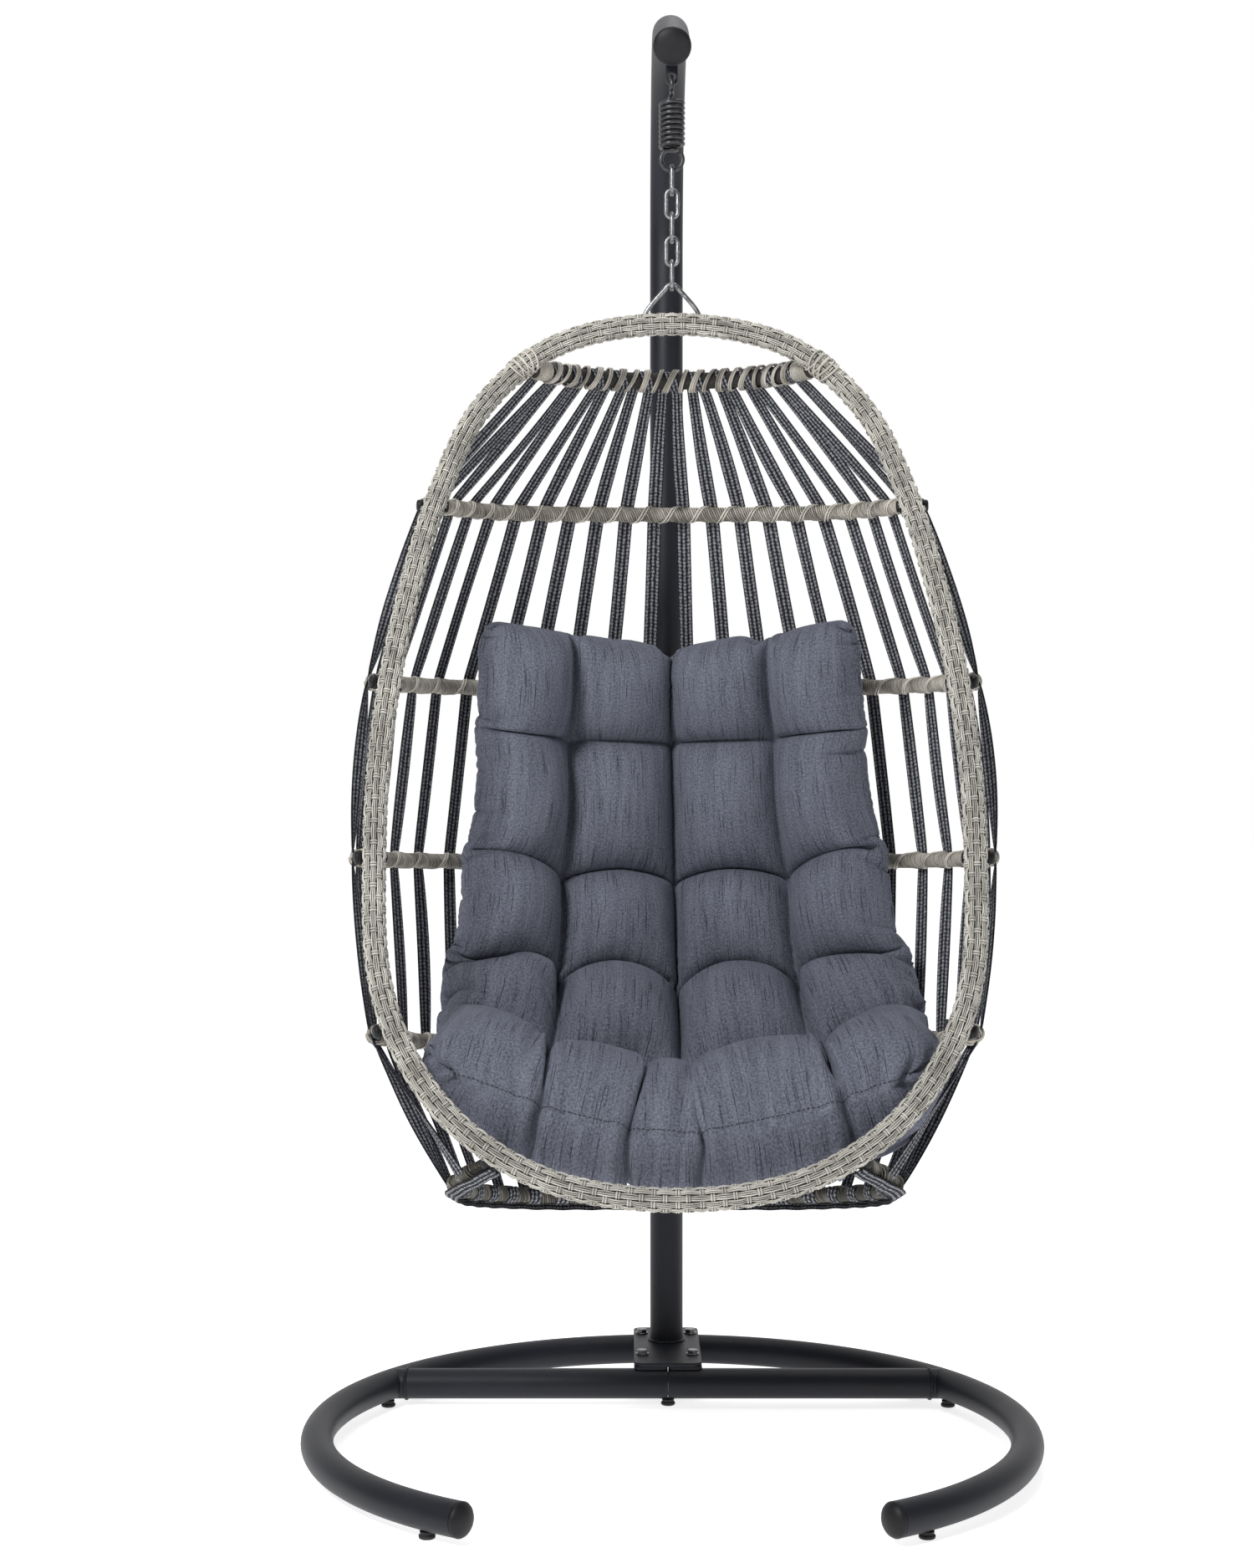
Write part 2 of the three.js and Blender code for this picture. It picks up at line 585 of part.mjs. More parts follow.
function ribbon(path) {
  const rings = path.map(({ point, along }, i) => {
    const before = path[Math.max(i - 1, 0)].point;
    const after = path[Math.min(i + 1, path.length - 1)].point;
    const run = after.clone().sub(before).normalize();
    const face = run.clone().cross(along).normalize();
    const across = face.clone().cross(run);
    const w = STRAP.width / 2;
    const h = STRAP.thick / 2;
    return [[-w, -h], [w, -h], [w, h], [-w, h]].map(([a, b]) =>
      point.clone().addScaledVector(across, a).addScaledVector(face, b));
  });
  return loft(rings);
}
for (let i = 0; i < STRAP.loops; i++) {
  addPiece(`strap_${i + 1}`, ribbon(strapPath(i)), WEBBING);
}

// ---- Cushion --------------------------------------------------------------------------------
// One folded pad. Its lower side follows the bars and its upper side is THICK above it.
const CUSHION = { halfWidth: 300, thick: 100, frontExtra: 60, columns: 10, steps: 20 };
// The lower side in the middle of the chair: [Y, Z], from the top of the back to the front roll.
const CUSHION_PROFILE = [
  [136, 1082], [173, 960], [176, 800], [138, 640], [53, 509], [-75, 430], [-204, 400], [-296, 396], [-341, 426],
];
function cushionSection(x) {
  const edge = Math.abs(x) / CUSHION.halfWidth;
  const bow = edge ** 2.2;
  const curve = new THREE.SplineCurve(CUSHION_PROFILE.map(([y, z]) => {
    const seat = THREE.MathUtils.smoothstep(960 - z, 250, 520);
    const front = THREE.MathUtils.smoothstep(-y, 150, 341);
    return new THREE.Vector2(y + bow * (55 * front - 150 * (1 - seat)), z + 125 * bow * seat);
  }));
  const steps = CUSHION.steps;
  const lower = curve.getSpacedPoints(steps);
  const upper = lower.map((p, i) => {
    const run = curve.getTangentAt(i / steps);
    const front = THREE.MathUtils.smoothstep(i / steps, 0.62, 0.92);
    const taper = Math.min(1, 0.5 + 0.42 * Math.min(i, steps - i));
    const thick = (CUSHION.thick + CUSHION.frontExtra * front) * (1 - 0.45 * edge ** 4) * taper;
    return new THREE.Vector2(p.x + run.y * thick, p.y - run.x * thick);
  });
  return [...lower, ...upper.reverse()].map((p) => vec(x, p.x, p.y));
}
const cushionRings = [];
for (let i = 0; i <= CUSHION.columns; i++) {
  cushionRings.push(cushionSection(CUSHION.halfWidth * (1 - (2 * i) / CUSHION.columns)));
}
addPiece("cushion", loft(cushionRings), FABRIC);

// ---- Frame ------------------------------------------------------------------------------------
const bounds = new THREE.Box3().setFromObject(chair);
chair.position.set(-(bounds.min.x + bounds.max.x) / 2, -(bounds.min.y + bounds.max.y) / 2, -bounds.min.z);

export default chair;
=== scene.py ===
"""Looks of the hanging egg chair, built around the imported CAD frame. Metres, +Z up."""
import math

import bpy
import numpy as np
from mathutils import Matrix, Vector, noise


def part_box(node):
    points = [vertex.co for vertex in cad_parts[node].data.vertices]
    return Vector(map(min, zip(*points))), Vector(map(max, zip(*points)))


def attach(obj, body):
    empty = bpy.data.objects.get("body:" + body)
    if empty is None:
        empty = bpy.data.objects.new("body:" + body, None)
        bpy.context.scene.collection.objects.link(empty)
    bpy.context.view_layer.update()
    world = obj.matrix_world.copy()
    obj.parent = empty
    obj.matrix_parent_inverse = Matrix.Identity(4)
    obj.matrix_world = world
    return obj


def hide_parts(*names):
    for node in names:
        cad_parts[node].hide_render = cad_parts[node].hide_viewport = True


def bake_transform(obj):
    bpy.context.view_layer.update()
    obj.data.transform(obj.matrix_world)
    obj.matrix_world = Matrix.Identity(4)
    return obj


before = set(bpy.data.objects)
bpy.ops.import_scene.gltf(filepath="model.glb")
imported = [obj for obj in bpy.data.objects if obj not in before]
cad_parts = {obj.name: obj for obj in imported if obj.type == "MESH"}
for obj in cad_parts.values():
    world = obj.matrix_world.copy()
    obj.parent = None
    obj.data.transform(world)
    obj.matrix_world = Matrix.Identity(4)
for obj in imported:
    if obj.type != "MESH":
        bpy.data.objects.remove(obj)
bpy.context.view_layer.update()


# ---- Sizes, in the frame's own metres ------------------------------------------------
def centre(node):
    low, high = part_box(node)
    return (np.array(low) + np.array(high)) / 2


SIDES = ((-1, "left"), (1, "right"))
SIDEWAYS = np.array([1.0, 0.0, 0.0])
SPLIT = 0.0004  # half the gap between two tubes that butt
RIM_SEED, STRAP_SEED, CLOTH_SEED = 11, 40, 5

HANG_Y = float(centre("chain_link_1")[1])
BACK = HANG_Y + 0.040  # the base ring's middle, 40 mm behind the hanging line
RING_RADIUS = 0.460
RING_TUBE = 0.021
RING_Z = 0.030
RING_OPEN_DEG = 33
CROSS_BACK = 0.247  # from the ring's middle to the cross tube
CROSS_Y = BACK + CROSS_BACK
PLATE_HALF = 0.048
PLATE_FRONT_Y, PLATE_REAR_Y = BACK + 0.239, BACK + 0.467
BASE_PLATE_Z = 0.0505
POLE_PLATE_LOW, POLE_PLATE_HIGH = 0.0545, 0.0603
BOLT_SEAT_Z = 0.0606
BOLT_SHANK = 0.004
POLE_Y = BACK + 0.385
POLE_TUBE = 0.024
POLE_JOINT_Z = 1.000
JOINT_BOLT = (0, POLE_Y, POLE_JOINT_Z - 0.060)
ARCH_RADIUS = 0.250
ARCH_TOP_Z = 1.888
ARM_DROP_DEG = 25
ARM_STRAIGHT = 0.103
LUG_HOLE_Z = 1.788
LUG_HOLE_RADIUS = 0.0055
SPRING_HOOK, SPRING_END_LOOP = 0.011, 0.0142
SPRING_RADIUS, SPRING_WIRE = 0.0152, 0.0028
SPRING_TURNS, SPRING_PITCH = 9.5, 0.0066
SPRING_TOP_Z, SPRING_LOW_Z = 1.758, 1.6675
LINK_BEND, LINK_STRAIGHT, LINK_WIRE = 0.0075, 0.0105, 0.0025
HANGER_SPREAD, HANGER_BEND, HANGER_ROD = 0.034, 0.009, 0.003

RIM_TOP_Z = 1.469
RIM_TILT = math.radians(16.5)
RIM_NORMAL = np.array([0, math.cos(RIM_TILT), -math.sin(RIM_TILT)])
# Right half of the rim's centreline: half width, and distance down the leaning plane.
RIM_OUTLINE = [
    (0, 0), (0.148, 0.030), (0.242, 0.116), (0.294, 0.232), (0.336, 0.400), (0.358, 0.553),
    (0.363, 0.700), (0.352, 0.864), (0.314, 0.963), (0.251, 1.041), (0.148, 1.102), (0, 1.124),
]
RIM_CORE, RIM_CORD_RADIUS, RIM_TIE_RADIUS, LASHING_RADIUS = 0.0120, 0.0127, 0.0124, 0.0152
RIM_BUNDLES, RIM_STRANDS = 10, 3
RIM_TIE_STEP = 0.0138
TONE_SPREAD = 0.14  # how much one cord's tone differs from the next one's
BAR_END_BACK = 0.022
BAR_END_OUT, TOP_BAR_END_OUT = 0.007, -0.014
# Bars from the rim back round the sitter: place down the rim, widest point, corner, back.
BARS = [
    ("top_bar", 0.060, None, (0.112, 0.026, 1.412), (0.056, 1.412)),
    ("crossbar_1", 0.252, (0.310, -0.036, 1.236), (0.226, 0.096, 1.243), (0.168, 1.248)),
    ("crossbar_2", 0.488, (0.376, -0.096, 1.004), (0.284, 0.118, 1.008), (0.238, 1.010)),
    ("crossbar_3", 0.714, (0.390, -0.146, 0.782), (0.300, 0.096, 0.772), (0.242, 0.768)),
    ("crossbar_4", 0.927, (0.362, -0.215, 0.568), (0.282, 0.028, 0.534), (0.160, 0.522)),
    ("bottom_bar", 1.078, (0.262, -0.250, 0.392), (0.190, -0.075, 0.350), (-0.008, 0.338)),
]
LOWEST = len(BARS) - 1
BAR_CORE, TOP_BAR_CORE = 0.0082, 0.0108
WINDING_RADIUS, OVERWINDING_RADIUS = 0.0088, 0.0104
WINDING_STRANDS, WINDING_PITCH = 7, 0.0034
WINDING_INSET = 0.027  # bare bar at each bolted end
PAIR_GAP = 0.0042  # between the two cords of the pale pair
TOP_TURN_RADIUS, TOP_TURN_STEP = 0.0143, 0.0030
END_COIL_RADIUS, END_COIL_STEP, END_COIL_TURNS = 0.0116, 0.0029, 8
BOLT_FROM_END = 0.013
LUG_BACK, LUG_HALF_THICK = 0.0123, 0.002
STRAP_COUNT = 22
STRAP_WIDTH = 0.0190
STRAP_INSET = [0.024, 0.050, 0.052, 0.052, 0.052, 0.060]
STRAP_STEP = 0.012
LONG_RUN = 0.08  # straps sway and turn only between bars at least this far apart
STRAP_SWAY, STRAP_ROLL = 0.0011, 0.16
FACING_SHARE = 0.6  # how far a strap turns to face the front half way between two bars
LOW_WRAP, BAR_PASS, TOP_WRAP = 0.0120, 0.0106, 0.0122  # the straps' distance from a bar's middle
BAND_RADIUS, BAND_DEG = 0.0150, -62

# The middle of the pad's thickness in side view: (Y from the ring's middle, Z), back to front.
PAD_PROFILE = [
    (0.092, 1.072), (0.125, 0.953), (0.128, 0.805), (0.094, 0.659), (0.017, 0.546),
    (-0.095, 0.478), (-0.205, 0.448), (-0.280, 0.442), (-0.335, 0.460),
]
PAD_ROWS = [0.0, 0.172, 0.372, 0.552, 0.748, 1.0]
PAD_COLUMNS = [-1.0, -0.52, 0.0, 0.52, 1.0]
PAD_BACK_WIDTH, PAD_FRONT_WIDTH = 0.254, 0.300  # half widths
PAD_THREAD = 0.010  # length of a tuft's thread
PAD_TOP_DROPS = (0.018, 0.046, 0.030)  # how far the top edge is drawn down at each column seam
PAD_GATHERS = (-0.52, -0.19, 0.06, 0.54)  # folds that run over the front roll
PAD_RISE, PAD_HANG = 0.014, 0.020  # how far puffs rise and the front roll's underside hangs
FOLD_DEPTH, FOLD_RIDGE, FOLD_PINCH = 0.030, 0.009, 0.19
CREASE_DEPTH, CREASES = 0.0075, (-0.085, 0.075)  # beside each fold
STITCH, STITCH_STEP, STITCH_RADIUS, SEAM_ENDS = 0.0042, 0.0062, 0.0006, 0.012
COARSE_CLOTH, FINE_CLOTH = (71, 111), (141, 221)  # points across and down each sheet


# ---- Curves --------------------------------------------------------------------------
def unit(v):
    return v / np.maximum(np.linalg.norm(v, axis=-1, keepdims=True), 1e-12)


def arc(start, stop, count):
    """Angles in radians, from one number of degrees to another."""
    return np.radians(np.linspace(start, stop, count))


def circle(count):
    """Angles spaced evenly round a full turn."""
    return np.linspace(0, 2 * math.pi, count, endpoint=False)


def around(angles, x, y):
    """Unit spokes at the angles, between two directions square to each other."""
    return np.cos(angles)[:, None] * x + np.sin(angles)[:, None] * y


def square_to(axis, spare):
    """Two directions square to an axis; the first is also square to X, or else to spare."""
    u = unit(np.cross(axis, SIDEWAYS if abs(axis[0]) < 0.9 else spare))
    return u, np.cross(axis, u)


def bell(x, width):
    return np.exp(-((x / width) ** 2))


def smoothstep(x, low, high):
    t = np.clip((x - low) / (high - low), 0, 1)
    return t * t * (3 - 2 * t)


def noise_line(values):
    return np.array([noise.noise((float(v), 3.7, 0.2)) for v in values])


def lengths_along(points):
    """Distance from the first point to each point, along the polyline."""
    return np.concatenate([[0], np.cumsum(np.linalg.norm(np.diff(points, axis=0), axis=1))])


def smooth_curve(points, closed=False, samples=60):
    """Centripetal Catmull-Rom through the points, with samples steps on each stretch."""
    p = np.array(points, float)
    if closed:
        ext = np.vstack([p[-1], p, p[0], p[1]])
    else:
        ext = np.vstack([2 * p[0] - p[1], p, 2 * p[-1] - p[-2]])
    t = np.linspace(0, 1, samples, endpoint=False)[:, None]
    out = []
    for i in range(len(ext) - 3):
        a, b, c, d = ext[i : i + 4]
        d0, d1, d2 = (np.linalg.norm(q - r) ** 0.5 for q, r in ((b, a), (c, b), (d, c)))
        m1 = ((b - a) / d0 - (c - a) / (d0 + d1) + (c - b) / d1) * d1
        m2 = ((c - b) / d1 - (d - b) / (d1 + d2) + (d - c) / d2) * d1
        out.append(
            (2 * t**3 - 3 * t**2 + 1) * b + (t**3 - 2 * t**2 + t) * m1
            + (3 * t**2 - 2 * t**3) * c + (t**3 - t**2) * m2
        )
    out.append(p[:1] if closed else p[-1:])
    return np.vstack(out)


class Path:
    """A polyline that can be asked for places and tangents by distance along it."""

    def __init__(self, points, closed=False):
        self.points = np.array(points, float)
        self.closed = closed
        self.at = lengths_along(self.points)
        self.length = float(self.at[-1])

    def place(self, s):
        s = np.atleast_1d(s)
        s = s % self.length if self.closed else np.clip(s, 0, self.length)
        return np.stack([np.interp(s, self.at, self.points[:, k]) for k in range(3)], -1)

    def tangent(self, s, reach=0.004):
        s = np.atleast_1d(s)
        if self.closed:
            return unit(self.place(s + reach) - self.place(s - reach))
        low = np.clip(s - reach, 0, self.length - 1e-4)
        return unit(self.place(np.clip(s + reach, 1e-4, self.length)) - self.place(low))


def carried_frames(p, closed):
    """Normals carried along a path without twist, and their binormals."""
    if closed:
        tangents = unit(np.roll(p, -1, 0) - np.roll(p, 1, 0))
    else:
        tangents = unit(np.gradient(p, axis=0))
    normal = SIDEWAYS if abs(tangents[0][0]) < 0.9 else np.array([0, 0, 1.0])
    normals = []
    for t in tangents:
        normal = unit(normal - t * normal.dot(t))
        normals.append(normal)
    normals = np.array(normals)
    return normals, np.cross(tangents, normals)


# ---- Meshes --------------------------------------------------------------------------
def swept(points, across, out, outline):
    """Rings of an outline of (across, out) offsets, one at each point of a path."""
    return points[:, None] + outline[:, :1] * across[:, None] + outline[:, 1:] * out[:, None]


def grid_uv(across, along):
    return np.stack(np.broadcast_arrays(across[None, :], along[:, None]), -1)


def ellipse(width, height, sides=6):
    a = circle(sides)
    return np.column_stack([np.cos(a) * width / 2, np.sin(a) * height / 2])


class Builder:
    """Collects swept and lofted surfaces into one mesh, with a tone and a UV per vertex."""

    def __init__(self):
        self.verts, self.faces, self.tones, self.uvs = [], [], [], []
        self.count = 0

    def grid(self, rings, closed_along=False, closed_round=True, tone=0.5, uv=None):
        """Adds rings of points, capped where an open run of closed rings ends."""
        rings = np.asarray(rings, float)
        n, m = rings.shape[:2]
        base = self.count
        rows = np.arange(n if closed_along else n - 1)[:, None]
        cols = np.arange(m if closed_round else m - 1)[None, :]
        nxt_r, nxt_c = (rows + 1) % n, (cols + 1) % m
        corners = (rows * m + cols, rows * m + nxt_c, nxt_r * m + nxt_c, nxt_r * m + cols)
        self.faces.extend((np.stack(corners, -1).reshape(-1, 4) + base).tolist())
        if closed_round and not closed_along:
            self.faces.append(list(range(base + m - 1, base - 1, -1)))
            self.faces.append(list(range(base + (n - 1) * m, base + n * m)))
        self.verts.append(rings.reshape(-1, 3))
        self.tones.append(np.repeat(np.broadcast_to(tone, n), m))
        self.uvs.append(np.zeros((n * m, 2)) if uv is None else uv.reshape(-1, 2))
        self.count += n * m

    def tube(self, points, radius, sides=24, closed=False):
        p = np.array(points, float)
        normals, binormals = carried_frames(p, closed)
        radius = np.broadcast_to(radius, len(p))[:, None, None]
        a = circle(sides)
        rings = p[:, None] + around(a, normals[:, None], binormals[:, None]) * radius
        self.grid(rings, closed_along=closed, uv=grid_uv(a / (2 * math.pi), lengths_along(p)))

    def cord(self, points, across, out, outline, closed=False, tone=0.5):
        """Sweeps an outline of (across, out) offsets; tone may differ from ring to ring."""
        uv = grid_uv(outline[:, 0], lengths_along(points))
        self.grid(swept(points, across, out, outline), closed_along=closed, tone=tone, uv=uv)

    def lathe(self, profile, place, axis, segments=24):
        """Turns (radius, height) pairs about an axis through a place."""
        axis = unit(np.array(axis, float))
        u, w = square_to(axis, np.array([0, 1.0, 0]))
        prof = np.array(profile, float)
        ring = around(circle(segments), u, w)
        self.grid(np.array(place) + prof[:, None, 1:] * axis + prof[:, None, :1] * ring)

    def rod(self, place, axis, low, high):
        """A bolt's shank along an axis, from one height to another."""
        self.lathe([(0, low), (BOLT_SHANK, low), (BOLT_SHANK, high), (0, high)], place, axis, 16)

    def mesh_object(self, name, material, sharp_deg=None):
        mesh = bpy.data.meshes.new(name)
        mesh.from_pydata(np.vstack(self.verts).tolist(), [], self.faces)
        tone = mesh.attributes.new("tone", "FLOAT", "POINT")
        tone.data.foreach_set("value", np.concatenate(self.tones).astype(np.float32))
        uv = mesh.uv_layers.new(name="UVMap")
        loops = np.empty(len(mesh.loops), np.int32)
        mesh.loops.foreach_get("vertex_index", loops)
        uv.data.foreach_set("uv", np.vstack(self.uvs)[loops].astype(np.float32).ravel())
        mesh.polygons.foreach_set("use_smooth", [True] * len(mesh.polygons))
        if sharp_deg:
            mesh.set_sharp_from_angle(angle=math.radians(sharp_deg))
        mesh.materials.append(material)
        obj = bpy.data.objects.new(name, mesh)
        bpy.context.scene.collection.objects.link(obj)
        return obj


def made(builder, name, look, body, *nodes, sharp_deg=None):
    """Makes a piece of what a builder holds; look is its material and slot, and the slot is not
    used.
    """
    material, slot = look
    obj = builder.mesh_object(name, material, sharp_deg)
    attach(obj, body)
    if nodes:
        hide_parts(*nodes)
    return obj


# ---- Materials -----------------------------------------------------------------------
class Shader:
    """A Principled material with a few short ways to add nodes."""

    def __init__(self, name, **sockets):
        self.material = bpy.data.materials.new(name)
        self.material.use_nodes = True
        self.tree = self.material.node_tree
        self.principled = self.tree.nodes["Principled BSDF"]
        for key, value in sockets.items():
            self.principled.inputs[key.replace("_", " ")].default_value = value

    def node(self, kind, inputs, **settings):
        node = self.tree.nodes.new(kind)
        for key, value in settings.items():
            setattr(node, key, value)
        for key, value in inputs.items():
            if isinstance(value, bpy.types.NodeSocket):
                self.tree.links.new(value, node.inputs[key])
            else:
                node.inputs[key].default_value = value
        return node

    def look(self, slot):
        """What made() takes: the material and the slot it fills."""
        return self.material, slot

    def link(self, value, socket):
        self.tree.links.new(value, self.principled.inputs[socket])

    def math(self, operation, a, b=0.0, c=0.0):
        return self.node("ShaderNodeMath", {0: a, 1: b, 2: c}, operation=operation).outputs[0]

    def point(self, source, scale=(1, 1, 1)):
        """The Object or UV coordinate, scaled."""
        place = self.node("ShaderNodeTexCoord", {}).outputs[source]
        return self.node("ShaderNodeMapping", {0: place, "Scale": scale}).outputs[0]

    def noise(self, point, scale, detail=3.0, roughness=0.5):
        sockets = {"Vector": point, "Scale": scale, "Detail": detail, "Roughness": roughness}
        return self.node("ShaderNodeTexNoise", sockets).outputs[0]

    def uv_noise(self, across, along, detail, roughness):
        """Noise on the UV map, in cells per metre across and along."""
        return self.noise(self.point("UV", (across, along, 1)), 1, detail, roughness)

    def ramp(self, value, stops):
        node = self.node("ShaderNodeValToRGB", {0: value})
        ramp = node.color_ramp
        while len(ramp.elements) < len(stops):
            ramp.elements.new(0.5)
        for element, (position, colour) in zip(ramp.elements, stops):
            element.position = position
            element.color = (*colour, 1)
        return node.outputs[0]

    def colour(self, value, stops):
        self.link(self.ramp(value, stops), "Base Color")

    def bump(self, height, strength, distance):
        sockets = {"Height": height, "Strength": strength, "Distance": distance}
        self.link(self.node("ShaderNodeBump", sockets).outputs[0], "Normal")

    def roughness(self, value, low, high):
        sockets = {"Value": value, "To Min": low, "To Max": high}
        self.link(self.node("ShaderNodeMapRange", sockets).outputs[0], "Roughness")


def mottled(name, slot, scales, stops, gloss=None, grain=None, **sockets):
    """A look coloured by a noise, whose scales are (scale, detail, roughness).

    The same noise may drive the gloss (low, high). A grain (scale, detail, strength, distance)
    may roughen the surface.
    """
    s = Shader(name, **sockets)
    cloud = s.noise(s.point("Object"), *scales)
    s.colour(cloud, stops)
    if gloss:
        s.roughness(cloud, *gloss)
    if grain:
        scale, detail, strength, distance = grain
        s.bump(s.noise(s.point("Object"), scale, detail), strength, distance)
    return s.look(slot)


def rattan(name, light, dark):
    """Woven plastic cord: fine grooves along each cord and a tone that drifts along it."""
    s = Shader(name, Roughness=0.55, Specular_IOR_Level=0.35)
    drift = s.noise(s.point("Object"), 40, 2)
    streak = s.uv_noise(900, 30, 3, 0.6)
    tone = s.node("ShaderNodeAttribute", {}, attribute_name="tone").outputs["Fac"]
    share = s.math("MULTIPLY_ADD", drift, 0.45, s.math("MULTIPLY", streak, 0.25))
    share = s.math("MULTIPLY_ADD", tone, 0.32, share)
    middle = tuple(0.5 * (a + b) for a, b in zip(light, dark))
    s.colour(share, [(0.28, dark), (0.52, middle), (0.74, light)])
    s.roughness(streak, 0.42, 0.68)
    s.bump(streak, 0.35, 0.0005)
    return s.look("rattan")


def webbing():
    """Braided webbing: three ridges with slanting picks, flecked along each ridge with grey; the
    crests are painted lighter and the grooves between the ridges darker, as painted highlight and
    painted shade.
    """
    s = Shader("webbing", Roughness=0.8, Specular_IOR_Level=0.2)
    parts = s.node("ShaderNodeSeparateXYZ", {0: s.point("UV")})
    across, along = parts.outputs[0], parts.outputs[1]
    ridge = s.math("ABSOLUTE", s.math("SINE", s.math("MULTIPLY", across, 3 * math.pi)))
    slant = s.math("MULTIPLY", s.math("ABSOLUTE", s.math("SUBTRACT", across, 0.5)), 5.0)
    pick = s.math("SINE", s.math("MULTIPLY_ADD", along, 1250, slant))
    fleck = s.uv_noise(13, 170, 4, 0.75)
    share = s.math("MULTIPLY_ADD", pick, 0.05, s.math("MULTIPLY", fleck, 0.8))
    # ridge lightens each cord's crest and darkens the grooves between the cords: painted highlight
    # and painted shade; the grey flecks are the yarn's own speckle.
    share = s.math("MULTIPLY_ADD", ridge, 0.30, share)
    s.colour(share, [
        (0.44, (0.007, 0.008, 0.010)), (0.60, (0.034, 0.037, 0.046)), (0.75, (0.31, 0.315, 0.335)),
    ])
    s.bump(s.math("MULTIPLY", s.math("MULTIPLY_ADD", pick, 0.5, 0.5), ridge), 0.7, 0.0010)
    return s.look("webbing")


def cushion_fabric():
    """Slubby linen-look cloth: a fine weave, with dark and pale slubs that run down the pad."""
    s = Shader("cushion_fabric", Roughness=0.9, Sheen_Weight=0.12, Sheen_Roughness=0.5,
               Specular_IOR_Level=0.2, Sheen_Tint=(0.6, 0.65, 0.8, 1))
    slub = s.uv_noise(560, 15, 4, 0.62)
    broad = s.uv_noise(90, 7, 3, 0.5)
    fine = s.uv_noise(430, 360, 3, 0.7)
    crumple = s.noise(s.point("Object"), 42, 3, 0.55)
    cloud = s.math("MULTIPLY_ADD", fine, 0.78, s.math("MULTIPLY", broad, 0.22))
    weave = s.ramp(cloud, [(0.33, (0.040, 0.044, 0.062)), (0.66, (0.184, 0.194, 0.240))])
    slubs = s.ramp(slub, [
        (0.32, (0.20, 0.20, 0.22)), (0.395, (0.62, 0.62, 0.64)), (0.445, (1.0, 1.0, 1.0)),
        (0.70, (1.0, 1.0, 1.0)), (0.80, (1.3, 1.3, 1.26)),
    ])
    product = s.node("ShaderNodeMix", {0: 1.0, 6: weave, 7: slubs},
                     data_type="RGBA", blend_type="MULTIPLY")
    s.link(product.outputs[2], "Base Color")
    height = s.math("MULTIPLY_ADD", crumple, 3.0, s.math("MULTIPLY_ADD", slub, 0.6, fine))
    s.bump(height, 0.6, 0.0011)
    return s.look("cushion_fabric")


COAT = mottled(
    "powder_coat", "powder_coat", (9, 3),
    [(0.3, (0.0062, 0.0070, 0.0108)), (0.7, (0.0105, 0.0116, 0.0175))],
    gloss=(0.40, 0.55), grain=(1100, 2, 0.3, 0.0008), Roughness=0.45, Specular_IOR_Level=0.3)
PLASTIC = mottled(
    "black_plastic", "black_plastic", (60, 3),
    [(0.3, (0.0045, 0.0046, 0.0055)), (0.7, (0.010, 0.010, 0.012))],
    gloss=(0.45, 0.6), grain=(900, 2, 0.15, 0.0004), Specular_IOR_Level=0.3)
RUBBER = mottled(
    "foot_rubber", "rubber_foot", (500, 4),
    [(0.3, (0.016, 0.016, 0.016)), (0.75, (0.032, 0.032, 0.032))],
    grain=(500, 4, 0.3, 0.0006), Roughness=0.8)
ZINC = mottled(
    "zinc", "zinc", (240, 4, 0.65),
    [(0.3, (0.13, 0.135, 0.14)), (0.5, (0.25, 0.255, 0.26)), (0.72, (0.42, 0.42, 0.42))],
    gloss=(0.25, 0.5), grain=(700, 3, 0.2, 0.0004), Roughness=0.32, Metallic=1.0)
STEEL = mottled(
    "spring_steel", "spring_steel", (180, 4),
    [(0.3, (0.030, 0.030, 0.033)), (0.72, (0.085, 0.086, 0.09))],
    gloss=(0.25, 0.45), Roughness=0.33, Metallic=0.75)
RIM_RATTAN = rattan("rim_rattan", (0.72, 0.70, 0.635), (0.19, 0.182, 0.157))
BAR_RATTAN = rattan("bar_rattan", (0.64, 0.60, 0.53), (0.070, 0.064, 0.052))
# Near-black cores under the cords: their colour is painted shade that shows in the gaps between
# the cords.
CORE_SHADE = mottled(
    "rattan_core_shade", "rattan", (300, 3),
    [(0.3, (0.014, 0.013, 0.011)), (0.75, (0.040, 0.037, 0.031))], Roughness=0.8)
WEB = webbing()
FABRIC = cushion_fabric()
THREAD = mottled(
    "stitching", "cushion_fabric", (400, 2),
    [(0.3, (0.016, 0.017, 0.022)), (0.7, (0.03, 0.032, 0.04))], Roughness=0.8)


# ---- Stand ---------------------------------------------------------------------------
def ring_path(side):
    """The base tube's centreline on one side, from the rear round to its open end."""
    a = arc(90, RING_OPEN_DEG - 90, 90)
    x, y = side * RING_RADIUS * np.cos(a), BACK + RING_RADIUS * np.sin(a)
    x[0] = side * SPLIT
    return np.column_stack([x, y, np.full(len(a), RING_Z)])


def weld_bead(b, middle, axis, radius, thick=0.0022):
    """A fused ring of weld round a tube, slightly uneven."""
    u, w = square_to(unit(np.array(axis, float)), np.array([0, 0, 1.0]))
    a = circle(64)
    r = radius + 0.0003 * np.sin(a * 17)
    b.tube(np.array(middle) + r[:, None] * around(a, u, w), thick, 8, closed=True)


